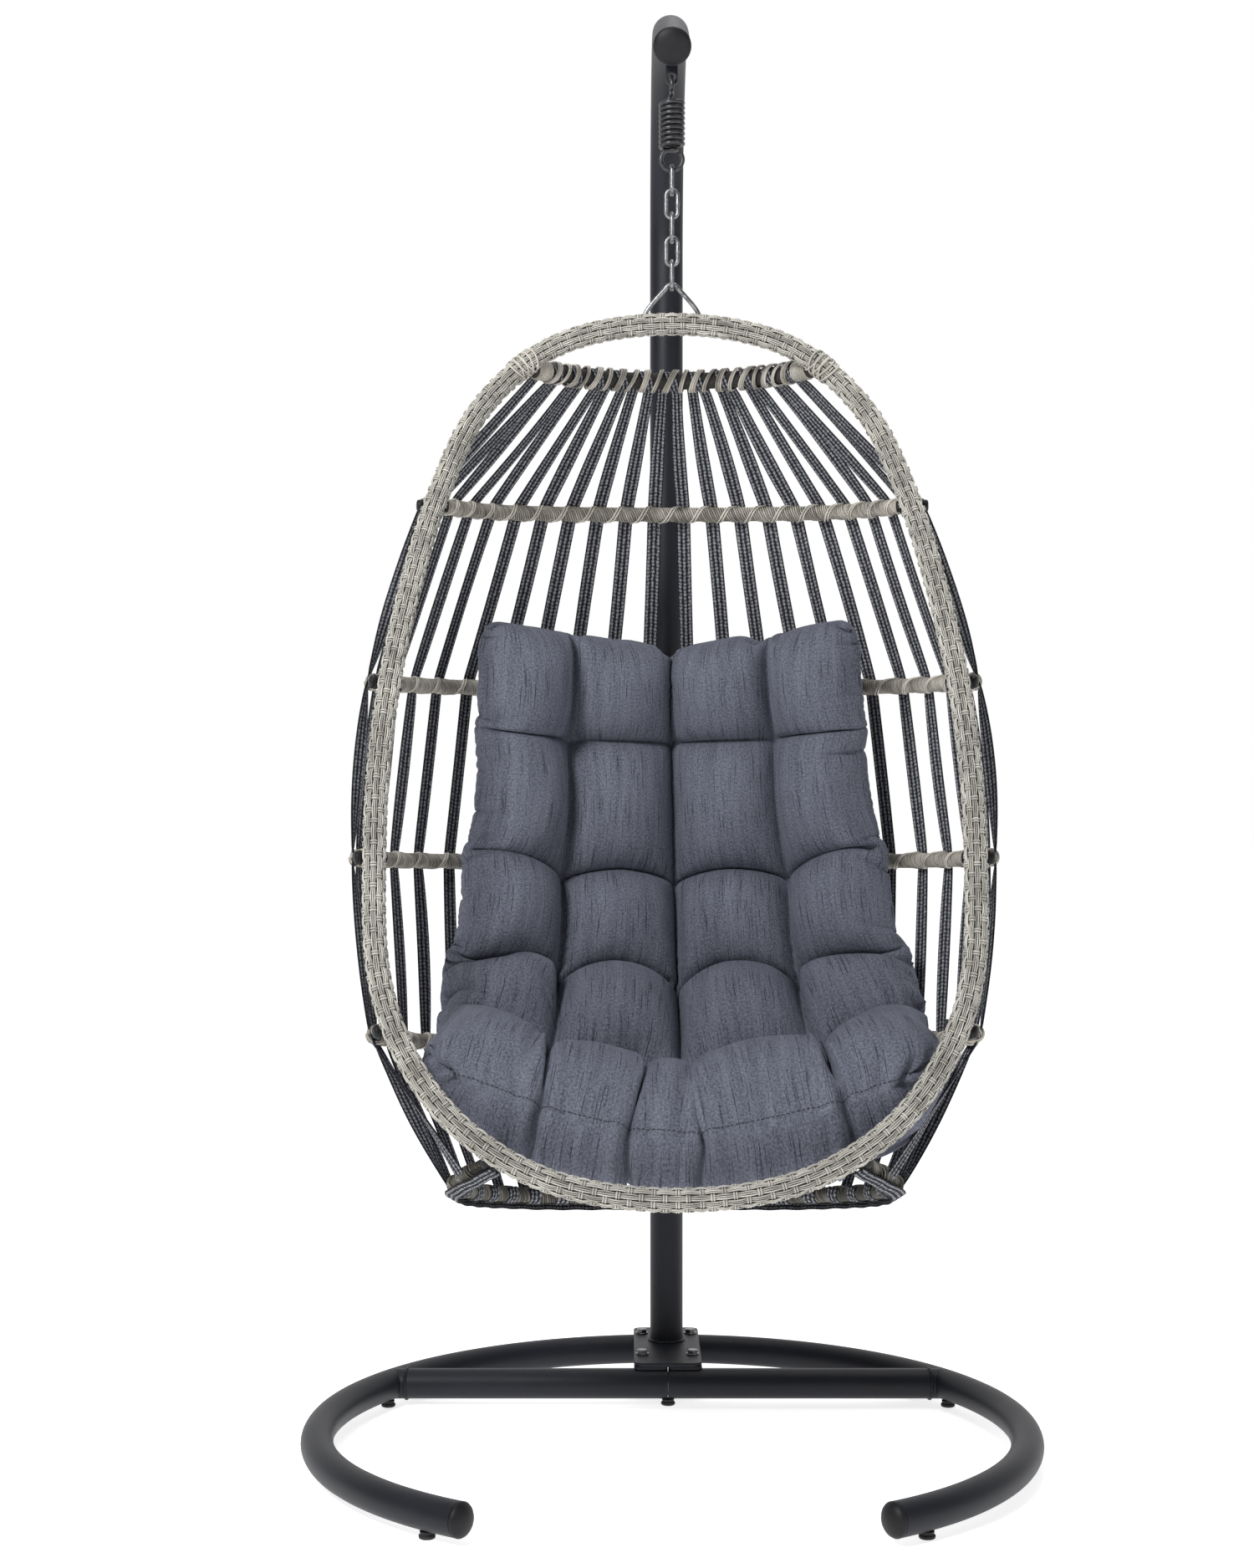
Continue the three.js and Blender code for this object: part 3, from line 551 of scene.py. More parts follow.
def rounded_plate(b, low, high, corner, edge=0.0012, steps=6):
    """A plate with round corners in plan and softened edges."""
    (x0, y0, z0), (x1, y1, z1) = low, high
    plan = []
    for cx, cy, start in (
        (x1 - corner, y1 - corner, 0), (x0 + corner, y1 - corner, 90),
        (x0 + corner, y0 + corner, 180), (x1 - corner, y0 + corner, 270),
    ):
        a = arc(start, start + 90, steps + 1)
        plan.append(np.column_stack([cx + 0 * a, cy + 0 * a, np.cos(a), np.sin(a)]))
    x, y, across, along = np.vstack(plan).T
    rings = []
    for inset, z in ((edge * 3, z0), (edge * 0.3, z0), (0, z0 + edge), (0, z1 - edge),
                     (edge * 0.3, z1), (edge * 3, z1)):
        r = corner - inset
        rings.append(np.column_stack([x + r * across, y + r * along, np.full(len(x), z)]))
    b.grid(rings)


def base_half(side, word):
    node = f"base_half_{word}"
    path = ring_path(side)
    b = Builder()
    b.tube(path, RING_TUBE, 36)
    cross_end = math.sqrt(RING_RADIUS**2 - CROSS_BACK**2)
    xs = np.linspace(SPLIT, cross_end, 12) * side
    b.tube([(x, CROSS_Y, RING_Z) for x in xs], RING_TUBE, 36)
    weld_x = side * (cross_end - 0.0195)
    weld_bead(b, (weld_x, CROSS_Y, RING_Z), (1, 0.12 * side, 0), RING_TUBE)
    inner, outer = sorted((side * SPLIT, side * PLATE_HALF))
    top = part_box(node)[1][2]
    rounded_plate(b, (inner, PLATE_FRONT_Y, BASE_PLATE_Z), (outer, PLATE_REAR_Y, top), 0.006)
    made(b, f"base_{word}", COAT, "stand", node, sharp_deg=40)
    cap = Builder()
    cap.lathe([(0, -0.014), (0.0175, -0.014), (0.0175, 0.0), (0.0205, 0.0002), (0.0212, 0.001),
               (0.0212, 0.0035), (0.0195, 0.0065), (0.0165, 0.0092), (0.012, 0.0115),
               (0.006, 0.013), (0, 0.0134)], path[-1], path[-1] - path[-2], 32)
    made(cap, f"base_plug_{word}", PLASTIC, "stand", f"base_end_cap_{word}", sharp_deg=50)


def nodes_named(start):
    return sorted(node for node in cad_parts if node.startswith(start))


def feet():
    for node in nodes_named("foot_"):
        x, y, _ = centre(node)
        b = Builder()
        b.lathe([(0, 0), (0.0084, 0), (0.0096, 0.0008), (0.0100, 0.0024), (0.0098, 0.004),
                 (0.0082, 0.0048), (0.0080, 0.006), (0.0086, 0.0068), (0.0086, 0.0088),
                 (0, 0.0088)], (x, y, 0), (0, 0, 1), 28)
        made(b, f"glide_{node.removeprefix('foot_')}", RUBBER, "stand", node, sharp_deg=50)


def hex_bolt(b, place, axis, head=0.0082, height=0.0055, washer=0.0094, thick=0.0015):
    """A hexagon head on a washer, standing on a surface at place along the axis."""
    b.lathe([(0, 0), (washer, 0), (washer, thick - 0.0004), (washer - 0.0004, thick), (0, thick)],
            place, axis, 28)
    top = np.array(place) + np.array(axis) * thick
    b.lathe([(0, 0), (head, 0), (head, height - 0.0016), (head - 0.0012, height - 0.0007),
             (head - 0.0028, height - 0.0006), (0, height - 0.0006)], top, axis, 6)


def plate_bolts():
    for node in nodes_named("plate_bolt_"):
        x, y, _ = centre(node)
        foot, up = (x, y, 0), (0, 0, 1)
        b = Builder()
        hex_bolt(b, (x, y, BOLT_SEAT_Z), up)
        b.rod(foot, up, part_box(node)[0][2], BOLT_SEAT_Z)
        b.lathe([(0.0041, 0.0436), (0.008, 0.0436), (0.008, 0.0494), (0.0041, 0.0494)],
                foot, up, 6)
        made(b, f"plate_screw_{node.removeprefix('plate_bolt_')}", ZINC, "stand", node,
             sharp_deg=30)


def pole_lower():
    b = Builder()
    b.tube([(0, POLE_Y, z) for z in np.linspace(0.058, POLE_JOINT_Z, 40)], POLE_TUBE, 48)
    rounded_plate(b, (-PLATE_HALF, PLATE_FRONT_Y, POLE_PLATE_LOW),
                  (PLATE_HALF, PLATE_REAR_Y, POLE_PLATE_HIGH), 0.012)
    weld_bead(b, (0, POLE_Y, 0.0612), (0, 0, 1), POLE_TUBE + 0.0006, thick=0.0026)
    front, rear = POLE_Y + POLE_TUBE - 0.002, POLE_Y + POLE_TUBE + 0.042
    gusset = np.array([(front, 0.060), (rear, 0.060), (rear, 0.067), (rear - 0.004, 0.072),
                       (front + 0.004, 0.131), (front, 0.134)])
    b.grid([np.column_stack([np.full(len(gusset), x), gusset]) for x in (-0.003, 0.003)])
    made(b, "pole_foot", COAT, "stand", "pole_lower", sharp_deg=40)


def arm_path():
    """The pole's upper part: a straight, the bend over the top and the drooping end."""
    bend_z, bend_y = ARCH_TOP_Z - ARCH_RADIUS, POLE_Y - ARCH_RADIUS
    a = arc(0, 90 + ARM_DROP_DEG, 60)
    y = bend_y + ARCH_RADIUS * np.cos(a)
    z = bend_z + ARCH_RADIUS * np.sin(a)
    run = np.linspace(0.012, ARM_STRAIGHT, 8)
    slope = math.radians(ARM_DROP_DEG)
    straight = np.linspace(POLE_JOINT_Z + SPLIT, bend_z - 0.01, 24)
    y = np.concatenate([np.full(24, POLE_Y), y, y[-1] - run * math.cos(slope)])
    z = np.concatenate([straight, z, z[-1] - run * math.sin(slope)])
    return np.column_stack([np.zeros(len(y)), y, z])


def lug_with_hole(b, half, bottom, top, thick, count=40):
    """A flat upright lug with a round lower end, and the hole that the spring hangs in."""
    a = circle(count)
    x, z = np.cos(a), np.sin(a)
    k = np.where(z >= 0, np.maximum(abs(x), abs(z)), 1)
    rise = np.where(z >= 0, top - bottom - half, half)
    outer = np.column_stack([half * x / k, bottom + half + rise * z / k])
    a += math.atan2(outer[0][1] - LUG_HOLE_Z, outer[0][0])
    hole = np.column_stack([np.cos(a), np.sin(a)]) * LUG_HOLE_RADIUS + [0, LUG_HOLE_Z]
    rings = []
    for plan, depth in ((hole, -thick), (outer, -thick), (outer, thick), (hole, thick)):
        rings.append(np.column_stack([plan[:, 0], np.full(count, HANG_Y + depth / 2), plan[:, 1]]))
    b.grid(rings, closed_along=True)


def pole_upper():
    path = arm_path()
    b = Builder()
    b.tube(path, POLE_TUBE, 48)
    b.tube([(0, POLE_Y, z) for z in np.linspace(0.885, 1.005, 6)], POLE_TUBE - 0.0026, 32)
    lug_with_hole(b, 0.0075, 1.7773, 1.815, 0.004)
    made(b, "pole_arm", COAT, "stand", "pole_upper", sharp_deg=40)
    cap = Builder()
    cap.lathe([(0, -0.014), (0.0205, -0.014), (0.0205, 0.0), (0.0238, 0.0002), (0.0246, 0.0012),
               (0.0246, 0.0034), (0.0232, 0.0056), (0.019, 0.0082), (0.013, 0.0098),
               (0.006, 0.0107), (0, 0.011)], path[-1], path[-1] - path[-2], 40)
    made(cap, "arm_plug", PLASTIC, "stand", "arm_end_cap", sharp_deg=50)


def joint_bolt():
    x, y, z = JOINT_BOLT
    b = Builder()
    for sign in (-1, 1):
        seat = (x + sign * (POLE_TUBE + 0.0002), y, z)
        hex_bolt(b, seat, (sign, 0, 0), 0.0072, 0.005, 0.0082)
    b.rod(JOINT_BOLT, (1, 0, 0), -0.025, 0.025)
    made(b, "joint_screw", ZINC, "stand", "pole_joint_bolt", sharp_deg=30)


def inner_joiners():
    """The joining tubes stay as CAD parts and only get their metal."""
    for node in ("ring_joiner", "cross_tube_joiner"):
        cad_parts[node].data.materials.clear()
        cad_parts[node].data.materials.append(ZINC[0])


# ---- Spring, chain and hanger ----------------------------------------------------------
def spring():
    """Upper hook, coil and lower loop as one wire."""
    a = arc(-35, 262, 60)
    y, z = -SPRING_HOOK * np.cos(a), LUG_HOLE_Z - SPRING_HOOK + SPRING_HOOK * np.sin(a)
    upper = np.column_stack([0 * a, y, z])
    per_turn = 32
    i = np.arange(int(SPRING_TURNS * per_turn) + 1)
    a = 2 * math.pi * i / per_turn
    ease = np.minimum(1, np.minimum(i + 2, i[::-1] + 2) / 14)
    r = SPRING_RADIUS * np.sin(ease * math.pi / 2)
    z = SPRING_TOP_Z - SPRING_PITCH * i / per_turn
    coil = np.column_stack([-r * np.cos(a), r * np.sin(a), z])
    a = arc(112, 395, 48)
    x, z = SPRING_END_LOOP * np.cos(a), SPRING_LOW_Z + SPRING_END_LOOP * (1 + np.sin(a))
    lower = np.column_stack([x, 0 * a, z])
    points = np.vstack([upper, coil, lower]) + [0, HANG_Y, 0]
    for _ in range(6):
        points[1:-1] = 0.25 * points[:-2] + 0.5 * points[1:-1] + 0.25 * points[2:]
    b = Builder()
    b.tube(points, SPRING_WIRE, 14)
    obj = b.mesh_object("coil_spring", STEEL[0])
    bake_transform(obj)
    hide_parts("spring")


def link_oval():
    """A chain link's centreline as (across, up), and its radius, fuller at the weld."""
    parts = []
    for sign, start in ((1, 0), (-1, 180)):
        a = arc(start, start + 180, 20)
        end = sign * LINK_STRAIGHT
        parts.append(np.column_stack([LINK_BEND * np.cos(a), end + LINK_BEND * np.sin(a)]))
        z = end * (1 - np.arange(1, 6) / 3)
        parts.append(np.column_stack([0 * z - sign * LINK_BEND, z]))
    oval = np.vstack(parts)
    weld = abs(oval[:, 1]) + abs(oval[:, 0] - LINK_BEND)
    return oval, LINK_WIRE + 0.00045 * bell(weld, 0.0022)


def chain():
    oval, radius = link_oval()
    across, z = oval.T
    still = 0 * across
    for number in range(1, 6):
        node = f"chain_link_{number}"
        x, y = (across, still) if number % 2 == 0 else (still, across)
        b = Builder()
        b.tube(np.column_stack([x, y + HANG_Y, z + centre(node)[2]]), radius, 16, closed=True)
        made(b, f"link_{number}_steel", ZINC, f"link_{number}", node)


def hanger():
    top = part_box("hanger_vee")[1][2] - HANGER_ROD
    foot = RIM_TOP_Z + 0.004
    points = [(-HANGER_SPREAD, HANG_Y, foot), (-HANGER_SPREAD, HANG_Y, foot + 0.010)]
    for a in arc(-60, 60, 13):
        rise = HANGER_BEND * (math.cos(a) - 1)
        points.append((HANGER_BEND * math.sin(a), HANG_Y, top + rise))
    points += [(HANGER_SPREAD, HANG_Y, foot + 0.010), (HANGER_SPREAD, HANG_Y, foot)]
    b = Builder()
    b.tube(smooth_curve(points, samples=8), HANGER_ROD, 18)
    made(b, "hanger_rod", ZINC, "basket", "hanger_vee")


# ---- Basket --------------------------------------------------------------------------
def on_rim(x, down):
    return (x, HANG_Y - down * math.sin(RIM_TILT), RIM_TOP_Z - down * math.cos(RIM_TILT))


def rim_path():
    right = [on_rim(x, down) for x, down in RIM_OUTLINE]
    left = [on_rim(-x, down) for x, down in RIM_OUTLINE[-2:0:-1]]
    return Path(smooth_curve(right + left, closed=True, samples=50), closed=True)


RIM = rim_path()


def rim_side(down):
    """The rim's right side at a distance down its plane."""
    z = RIM_TOP_Z - down * math.cos(RIM_TILT)
    side = RIM.points[RIM.points[:, 0] >= 0]
    return np.array(on_rim(float(side[np.argmin(abs(side[:, 2] - z))][0]), down))


def bar_path(down, bulge, corner, back):
    """A bar's centreline from the left of the rim, round the back, to the right."""
    shift = np.array([0, BACK, 0])
    half = [rim_side(down) + [BAR_END_OUT if bulge else TOP_BAR_END_OUT, BAR_END_BACK, 0]]
    half += [np.array(place) + shift for place in (bulge, corner) if place]
    left = [p * np.array([-1, 1, 1]) for p in half]
    return Path(smooth_curve([*left, np.array([0, *back]) + shift, *half[::-1]]))


BAR_PATHS = [bar_path(*bar[1:]) for bar in BARS]


def bar_frame(path, s):
    """Place, direction along, direction out of the basket, and the third axis, at s."""
    place, along = path.place(s), path.tangent(s)
    out = unit(np.column_stack([-along[:, 1], along[:, 0], np.zeros(len(along))]))
    up = np.cross(out, along)
    up *= np.sign(up[:, 2:3])
    return place, along, out, up


def rim_frame(s):
    """Place, direction along and direction towards the middle of the opening, at s."""
    place, along = RIM.place(s), RIM.tangent(s)
    return place, along, unit(np.cross(RIM_NORMAL, along))


def crossing_at(index, number):
    """Distance along a bar at which a strap crosses it."""
    path, inset = BAR_PATHS[index], STRAP_INSET[index]
    return inset + (path.length - 2 * inset) * number / (STRAP_COUNT - 1)


def rounded_wave(phase, power):
    """A cosine with flatter crests, for cords that lie over and under each other."""
    wave = np.cos(phase)
    return np.sign(wave) * abs(wave) ** power


def rim_weave():
    """Plain weave round the rim: bundles of long cords, tied down by pairs of cross cords."""
    rng = np.random.default_rng(RIM_SEED)
    ties = int(round(RIM.length / RIM_TIE_STEP / 2)) * 2
    rim_cords(rng, ties)
    rim_ties(rng, ties)
    # The core's dark colour is painted shade for the gaps between the rim's cords.
    core = Builder()
    core.tube(RIM.place(np.arange(240) * RIM.length / 240), RIM_CORE, 20, closed=True)
    made(core, "rim_core", CORE_SHADE, "basket")


def rim_cords(rng, ties, per_tie=6):
    s = np.arange(ties * per_tie) * RIM.length / (ties * per_tie)
    place, along, inward = rim_frame(s)
    phase = s / RIM.length * ties * math.pi
    for pair in range(RIM_BUNDLES // 2):
        cords = Builder()
        for k in (2 * pair, 2 * pair + 1):
            lift = RIM_CORD_RADIUS + 0.0011 * rounded_wave(phase + math.pi * k, 0.5)
            for strand in range(RIM_STRANDS):
                drift = 0.010 * noise_line(s * 11 + k * 17 + strand * 5)
                a = 2 * math.pi * (k + 0.5 + 0.285 * (strand - 1)) / RIM_BUNDLES + drift
                out = around(a, inward, RIM_NORMAL)
                shade = 0.5 + rng.normal(0, TONE_SPREAD)
                tone = shade + 0.6 * noise_line(s * 9 + k * 13 + strand)
                points = place + out * (lift + rng.normal(0, 0.0001))[:, None]
                cords.cord(points, np.cross(along, out), out, ellipse(0.0017, 0.0020),
                           closed=True, tone=tone)
        nodes = ["rim"] if pair == 0 else []
        made(cords, f"rim_cords_{pair + 1}", RIM_RATTAN, "basket", *nodes)


def rim_ties(rng, ties, pieces=4):
    a = circle(RIM_BUNDLES * 6)
    bundle = a / (2 * math.pi) * RIM_BUNDLES - 0.5
    for number, stretch in enumerate(np.array_split(np.arange(ties), pieces)):
        wraps = Builder()
        for tie in stretch:
            middle = RIM.length * tie / ties + rng.normal(0, 0.0008)
            _, along, inward = (v[0] for v in rim_frame(middle))
            lift = RIM_TIE_RADIUS - 0.0021 * rounded_wave(math.pi * (tie + bundle), 0.6)
            out = around(a, inward, RIM_NORMAL)
            across = np.broadcast_to(along, out.shape)
            for offset in (-0.0015, 0.0015):
                points = RIM.place(middle + offset) + out * lift[:, None]
                wraps.cord(points, across, out, ellipse(0.0023, 0.0017), closed=True,
                           tone=0.45 + rng.normal(0, TONE_SPREAD))
        made(wraps, f"rim_ties_{number + 1}", RIM_RATTAN, "basket")


def strap_bump(index, s):
    """How far a strap under the winding lifts it, from 0 to 1, at each s."""
    middles = np.array([crossing_at(index, number) for number in range(STRAP_COUNT)])
    off = (s[:, None] - middles) / (0.56 * STRAP_WIDTH)
    return np.exp(-(off**6)).max(axis=1)


def wind_cord(b, index, lead, offset, radius, width, tone,
              hand=1, start=WINDING_INSET, per_turn=14):
    """Winds one cord round a bar; it swells over each strap that passes outside the bar."""
    path = BAR_PATHS[index]
    turns = (path.length - start - offset - WINDING_INSET) / lead
    i = np.arange(int(turns * per_turn))
    a = hand * 2 * math.pi * i / per_turn
    s = start + offset + lead * i / per_turn
    place, _, out, up = bar_frame(path, s)
    spoke = around(a, out, up)
    swell = 0.0040 * strap_bump(index, s) * np.maximum(0, np.cos(a)) ** 0.7
    lift = radius + swell + 0.00025 * noise_line(s * 200 + offset * 900)
    points = place + spoke * lift[:, None]
    side = unit(np.cross(unit(np.gradient(points, axis=0)), spoke))
    tones = tone + 0.25 * noise_line(s * 70 + offset * 500)
    b.cord(points, side, spoke, ellipse(width, 0.0022), tone=tones)


def wound_bar(index):
    """A bar in a tight winding of cord, with a pale pair of cords wound over it the other way."""
    name = BARS[index][0]
    path = BAR_PATHS[index]
    core = Builder()
    core.tube(path.place(np.linspace(0, path.length, 160)), BAR_CORE, 16)
    made(core, f"{name}_core", CORE_SHADE, "basket", name)
    wind = Builder()
    lead = WINDING_STRANDS * WINDING_PITCH
    # The lowest bar's cords start from a darker tone: painted shade under the basket and pad.
    shade = -0.15 if index == LOWEST else 0.36
    for strand in range(WINDING_STRANDS):
        tone = shade + 0.16 * math.sin(strand * 2.4)
        wind_cord(wind, index, lead, WINDING_PITCH * strand, WINDING_RADIUS, 0.0025, tone)
    if index != LOWEST:
        first, second = crossing_at(index, 0), crossing_at(index, 1)
        for offset in (0, PAIR_GAP):
            wind_cord(wind, index, second - first, offset, OVERWINDING_RADIUS, 0.0024, 0.95,
                      hand=-1, start=first, per_turn=26)
    made(wind, f"{name}_winding", BAR_RATTAN, "basket")


def wound_top_bar():
    """The top bar: straps loop round it, with slanting turns of cord between and over them."""
    path = BAR_PATHS[0]
    core = Builder()
    core.tube(path.place(np.linspace(0, path.length, 80)), TOP_BAR_CORE, 18)
    made(core, "top_bar_core", CORE_SHADE, "basket", "top_bar")
    wind = Builder()
    a = circle(32)
    for gap in range(STRAP_COUNT - 1):
        middle = 0.5 * (crossing_at(0, gap) + crossing_at(0, gap + 1))
        lean = 0.0062 + 0.0018 * math.sin(gap * 2.1)
        turns = 3 - gap % 2
        for turn in range(turns):
            s = middle + (turn - (turns - 1) / 2) * TOP_TURN_STEP + lean * np.sin(a)
            place, along, out, up = bar_frame(path, np.clip(s, 0.001, path.length - 0.001))
            spoke = around(a, out, up)
            radius = TOP_TURN_RADIUS + 0.0003 * np.sin(a * 2 + gap + turn)
            wind.cord(place + spoke * radius[:, None], along, spoke, ellipse(0.0029, 0.0026),
                      closed=True, tone=0.62 + 0.35 * math.sin(gap * 1.7 + turn))
    turn = np.arange(END_COIL_TURNS * 14 + 1) / 14
    for end in (0.001, path.length - 0.024):
        s = np.clip(end + END_COIL_STEP * turn, 0.0005, path.length - 0.0005)
        place, along, out, up = bar_frame(path, s)
        spoke = around(2 * math.pi * turn, out, up)
        wind.cord(place + spoke * END_COIL_RADIUS, along, spoke, ellipse(0.0031, 0.0034))
    top_bar_lashings(wind)
    made(wind, "top_bar_winding", BAR_RATTAN, "basket")


def top_bar_lashings(b):
    """Turns of cord that bind each end of the top bar to the rim, crossing each other."""
    a = circle(36)
    for side, _ in SIDES:
        end = rim_side(BARS[0][1]) * [side, 1, 1]
        near = RIM.at[np.argmin(np.linalg.norm(RIM.points - end, axis=1))]
        for turn in range(7):
            odd = turn % 2
            lean = 0.007 if odd else -0.007
            place, along, inward = rim_frame(near + (turn - 3) * 0.0042 + lean * np.sin(a))
            out = around(a, inward, RIM_NORMAL)
            points = place + out * (LASHING_RADIUS + 0.0006 * odd)
            b.cord(points, along, out, ellipse(0.0027, 0.002), closed=True, tone=0.85)


def rib_bolts():
    """The capped bolts at the bars' ends, and the lugs that all but the lowest bar's hold."""
    cap = [(0, 0), (0.0086, 0), (0.0092, 0.0006), (0.0092, 0.0022), (0.0080, 0.0030),
           (0.0078, 0.0058), (0.0070, 0.0072), (0.0050, 0.0081), (0, 0.0084)]
    for index in range(1, len(BARS)):
        path = BAR_PATHS[index]
        for side, word in SIDES:
            s = path.length - BOLT_FROM_END if side > 0 else BOLT_FROM_END
            place, along, out, _ = (v[0] for v in bar_frame(path, s))
            b = Builder()
            b.rod(place, out, -0.016, 0.0115)
            for sign, face in ((1, 0.0098), (-1, 0.0150)):
                b.lathe(cap, place + out * sign * face, out * sign, 28)
            made(b, f"cap_bolt_{word}_{index}", PLASTIC, "basket", f"rib_bolt_{word}_{index}",
                 sharp_deg=45)
            if index != LOWEST:
                rim_lug(f"rim_lug_{word}_{index}", place, along * -side, out)


def rim_lug(name, place, back, out):
    """The flat steel lug that carries the bar's end, welded to the rim's rear side."""
    up = unit(np.cross(out, back))
    plan = np.array([(0.013, 0.0), (0.012, 0.0105), (0.0, 0.0115), (-0.030, 0.0115),
                     (-0.030, -0.0115), (0.0, -0.0115), (0.012, -0.0105)])
    outline = place - out * LUG_BACK + plan[:, :1] * back + plan[:, 1:] * up
    b = Builder()
    b.grid([outline - out * LUG_HALF_THICK, outline + out * LUG_HALF_THICK])
    made(b, name, COAT, "basket", sharp_deg=30)


# ---- Straps --------------------------------------------------------------------------
def strap_outline():
    """Three cords side by side, as (across, out) offsets."""
    xs = np.linspace(-STRAP_WIDTH / 2, STRAP_WIDTH / 2, 25)
    bulge = abs(np.sin(3 * math.pi * (xs / STRAP_WIDTH + 0.5)))
    upper = np.column_stack([xs, 0.0005 + 0.0010 * bulge**0.6])
    return np.vstack([upper, (upper * [1, -1])[::-1]])


def webbing_piece(name, points, across, out, along, *nodes):
    """A length of webbing; along is each point's distance in the weave's pattern."""
    outline = strap_outline()
    b = Builder()
    uv = grid_uv(outline[:, 0] / STRAP_WIDTH + 0.5, along)
    b.grid(swept(points, across, out, outline), uv=uv)
    made(b, name, WEB, "basket", *nodes)


def bar_turn(place, out, deg, lift):
    """A point round a bar, at an angle up from straight out."""
    a = math.radians(deg)
    return place + out * lift * math.cos(a) + np.array([0, 0, lift * math.sin(a)])


def strap_leg(number):
    """Points up one strap from the bottom bar to below the top bar, with bar directions."""
    stops = []
    for index in range(LOWEST, -1, -1):
        stops.append([v[0] for v in bar_frame(BAR_PATHS[index], crossing_at(index, number))][:3])
    leg = []
    for i, (place, along, out) in enumerate(stops[:-1]):
        run = stops[i + 1][0] - stops[max(i - 1, 0)][0]
        lean = math.degrees(math.atan2(-run.dot(out), run[2]))
        angles = [-235, -200, -160, -120, -80, -45, lean - 14] if i == 0 else [lean - 9, lean + 9]
        lift = LOW_WRAP if i == 0 else BAR_PASS
        leg += [(bar_turn(place, out, deg, lift), along) for deg in angles]
    return leg, stops[-1]


def strap_path(loop):
    """Up one leg of a strap, round the top bar and down the other, with bar directions."""
    up_leg, (top, along, out) = strap_leg(2 * loop)
    down_leg, (second, _, _) = strap_leg(2 * loop + 1)
    over = []
    for i in range(15):
        place = bar_turn(top, out, 12 + 310 * i / 14, TOP_WRAP)
        over.append((place + (second - top) * i / 14, along))
    return up_leg + over + down_leg[::-1]


def strap(loop):
    """One strap; its long runs sway a little and turn to face the front."""
    rng = np.random.default_rng(STRAP_SEED + loop)
    path = strap_path(loop)
    points, alongs = [], []
    for (p0, a0), (p1, a1) in zip(path, path[1:]):
        gap = np.linalg.norm(p1 - p0)
        steps = max(1, int(gap / STRAP_STEP))
        sway = rng.normal(0, STRAP_SWAY, 2) if gap > LONG_RUN else np.zeros(2)
        roll = rng.normal(0, STRAP_ROLL) if gap > LONG_RUN else 0.0
        for k in range(steps):
            t = k / steps
            hump = math.sin(math.pi * t)
            along = unit(a0 * (1 - t) + a1 * t)
            face = unit(np.cross(p1 - p0, along))
            points.append(p0 * (1 - t) + p1 * t + along * sway[0] * hump + face * sway[1] * hump)
            turned = along + face * roll * hump
            share = FACING_SHARE * hump**0.6 * max(0.0, 1 - abs(along[0]) / 0.75)
            alongs.append(unit(turned * (1 - share) + SIDEWAYS * share))
    points.append(path[-1][0])
    alongs.append(path[-1][1])
    points = np.array(points)
    for _ in range(2):
        points[1:-1] = 0.22 * points[:-2] + 0.56 * points[1:-1] + 0.22 * points[2:]
    run = unit(np.gradient(points, axis=0))
    face = unit(np.cross(run, np.array(alongs)))
    across = np.cross(face, run) * (1 - 0.24 * smoothstep(points[:, 2:], 1.29, 1.40))
    webbing_piece(f"web_{loop + 1}", points, across, face, lengths_along(points),
                  f"strap_{loop + 1}")


def bottom_band():
    """The webbing's end, run along under the bottom bar over the straps' turns."""
    path = BAR_PATHS[LOWEST]
    s = np.linspace(0.010, path.length - 0.010, 150)
    place, along, out, up = bar_frame(path, s)
    a = math.radians(BAND_DEG)
    spoke = math.cos(a) * out + math.sin(a) * up
    lift = BAND_RADIUS + 0.0006 * np.sin(s * 160)
    webbing_piece("bottom_band", place + spoke * lift[:, None], np.cross(along, spoke), spoke, s)


# ---- Cushion -------------------------------------------------------------------------
# Each sheet of cloth is a grid of points: v from 0 to 1 down the pad, u from -1 to 1 across it.
def pad_uv(nu, nv):
    return np.linspace(-1, 1, nu)[None, :], np.linspace(0, 1, nv)[:, None]


def seam_lines(nu, nv):
    """The grid's columns and rows nearest to the column seams and row seams."""
    columns = [int(round((place + 1) / 2 * (nu - 1))) for place in PAD_COLUMNS]
    rows = [int(round(place * (nv - 1))) for place in PAD_ROWS]
    return columns, rows


def pad_middle(nu, nv):
    """The pad's middle surface, its normals and directions down the pad; half widths; length."""
    u, v = pad_uv(nu, nv)
    base = Path(smooth_curve([(0, y, z) for y, z in PAD_PROFILE], samples=40))
    s = (v - 0.046 * u**2 * np.sin(np.pi * v) ** 0.8) * base.length
    y = np.interp(s, base.at, base.points[:, 1])
    z = np.interp(s, base.at, base.points[:, 2])
    width = PAD_BACK_WIDTH + (PAD_FRONT_WIDTH - PAD_BACK_WIDTH) * smoothstep(v, 0.15, 0.62)
    width += 0.010 * bell(v - 0.60, 0.14)
    lean = 0.030 * np.minimum(v, 1.40 - v) - 0.005
    seat = smoothstep(0.960 - z, 0.25, 0.50)
    front = smoothstep(-y, 0.15, 0.33)
    bow = np.abs(u) ** 2.2
    place = np.stack([
        u * width + lean,
        y + bow * (0.045 * front - 0.125 * (1 - seat)) + BACK,
        z + bow * 0.100 * seat,
    ], -1)
    down = unit(np.gradient(place, axis=0))
    normal = unit(np.cross(np.gradient(place, axis=1), down))
    return place, normal * -np.sign(normal[:1, :1, 1:2]), down, width[:, 0], base.length


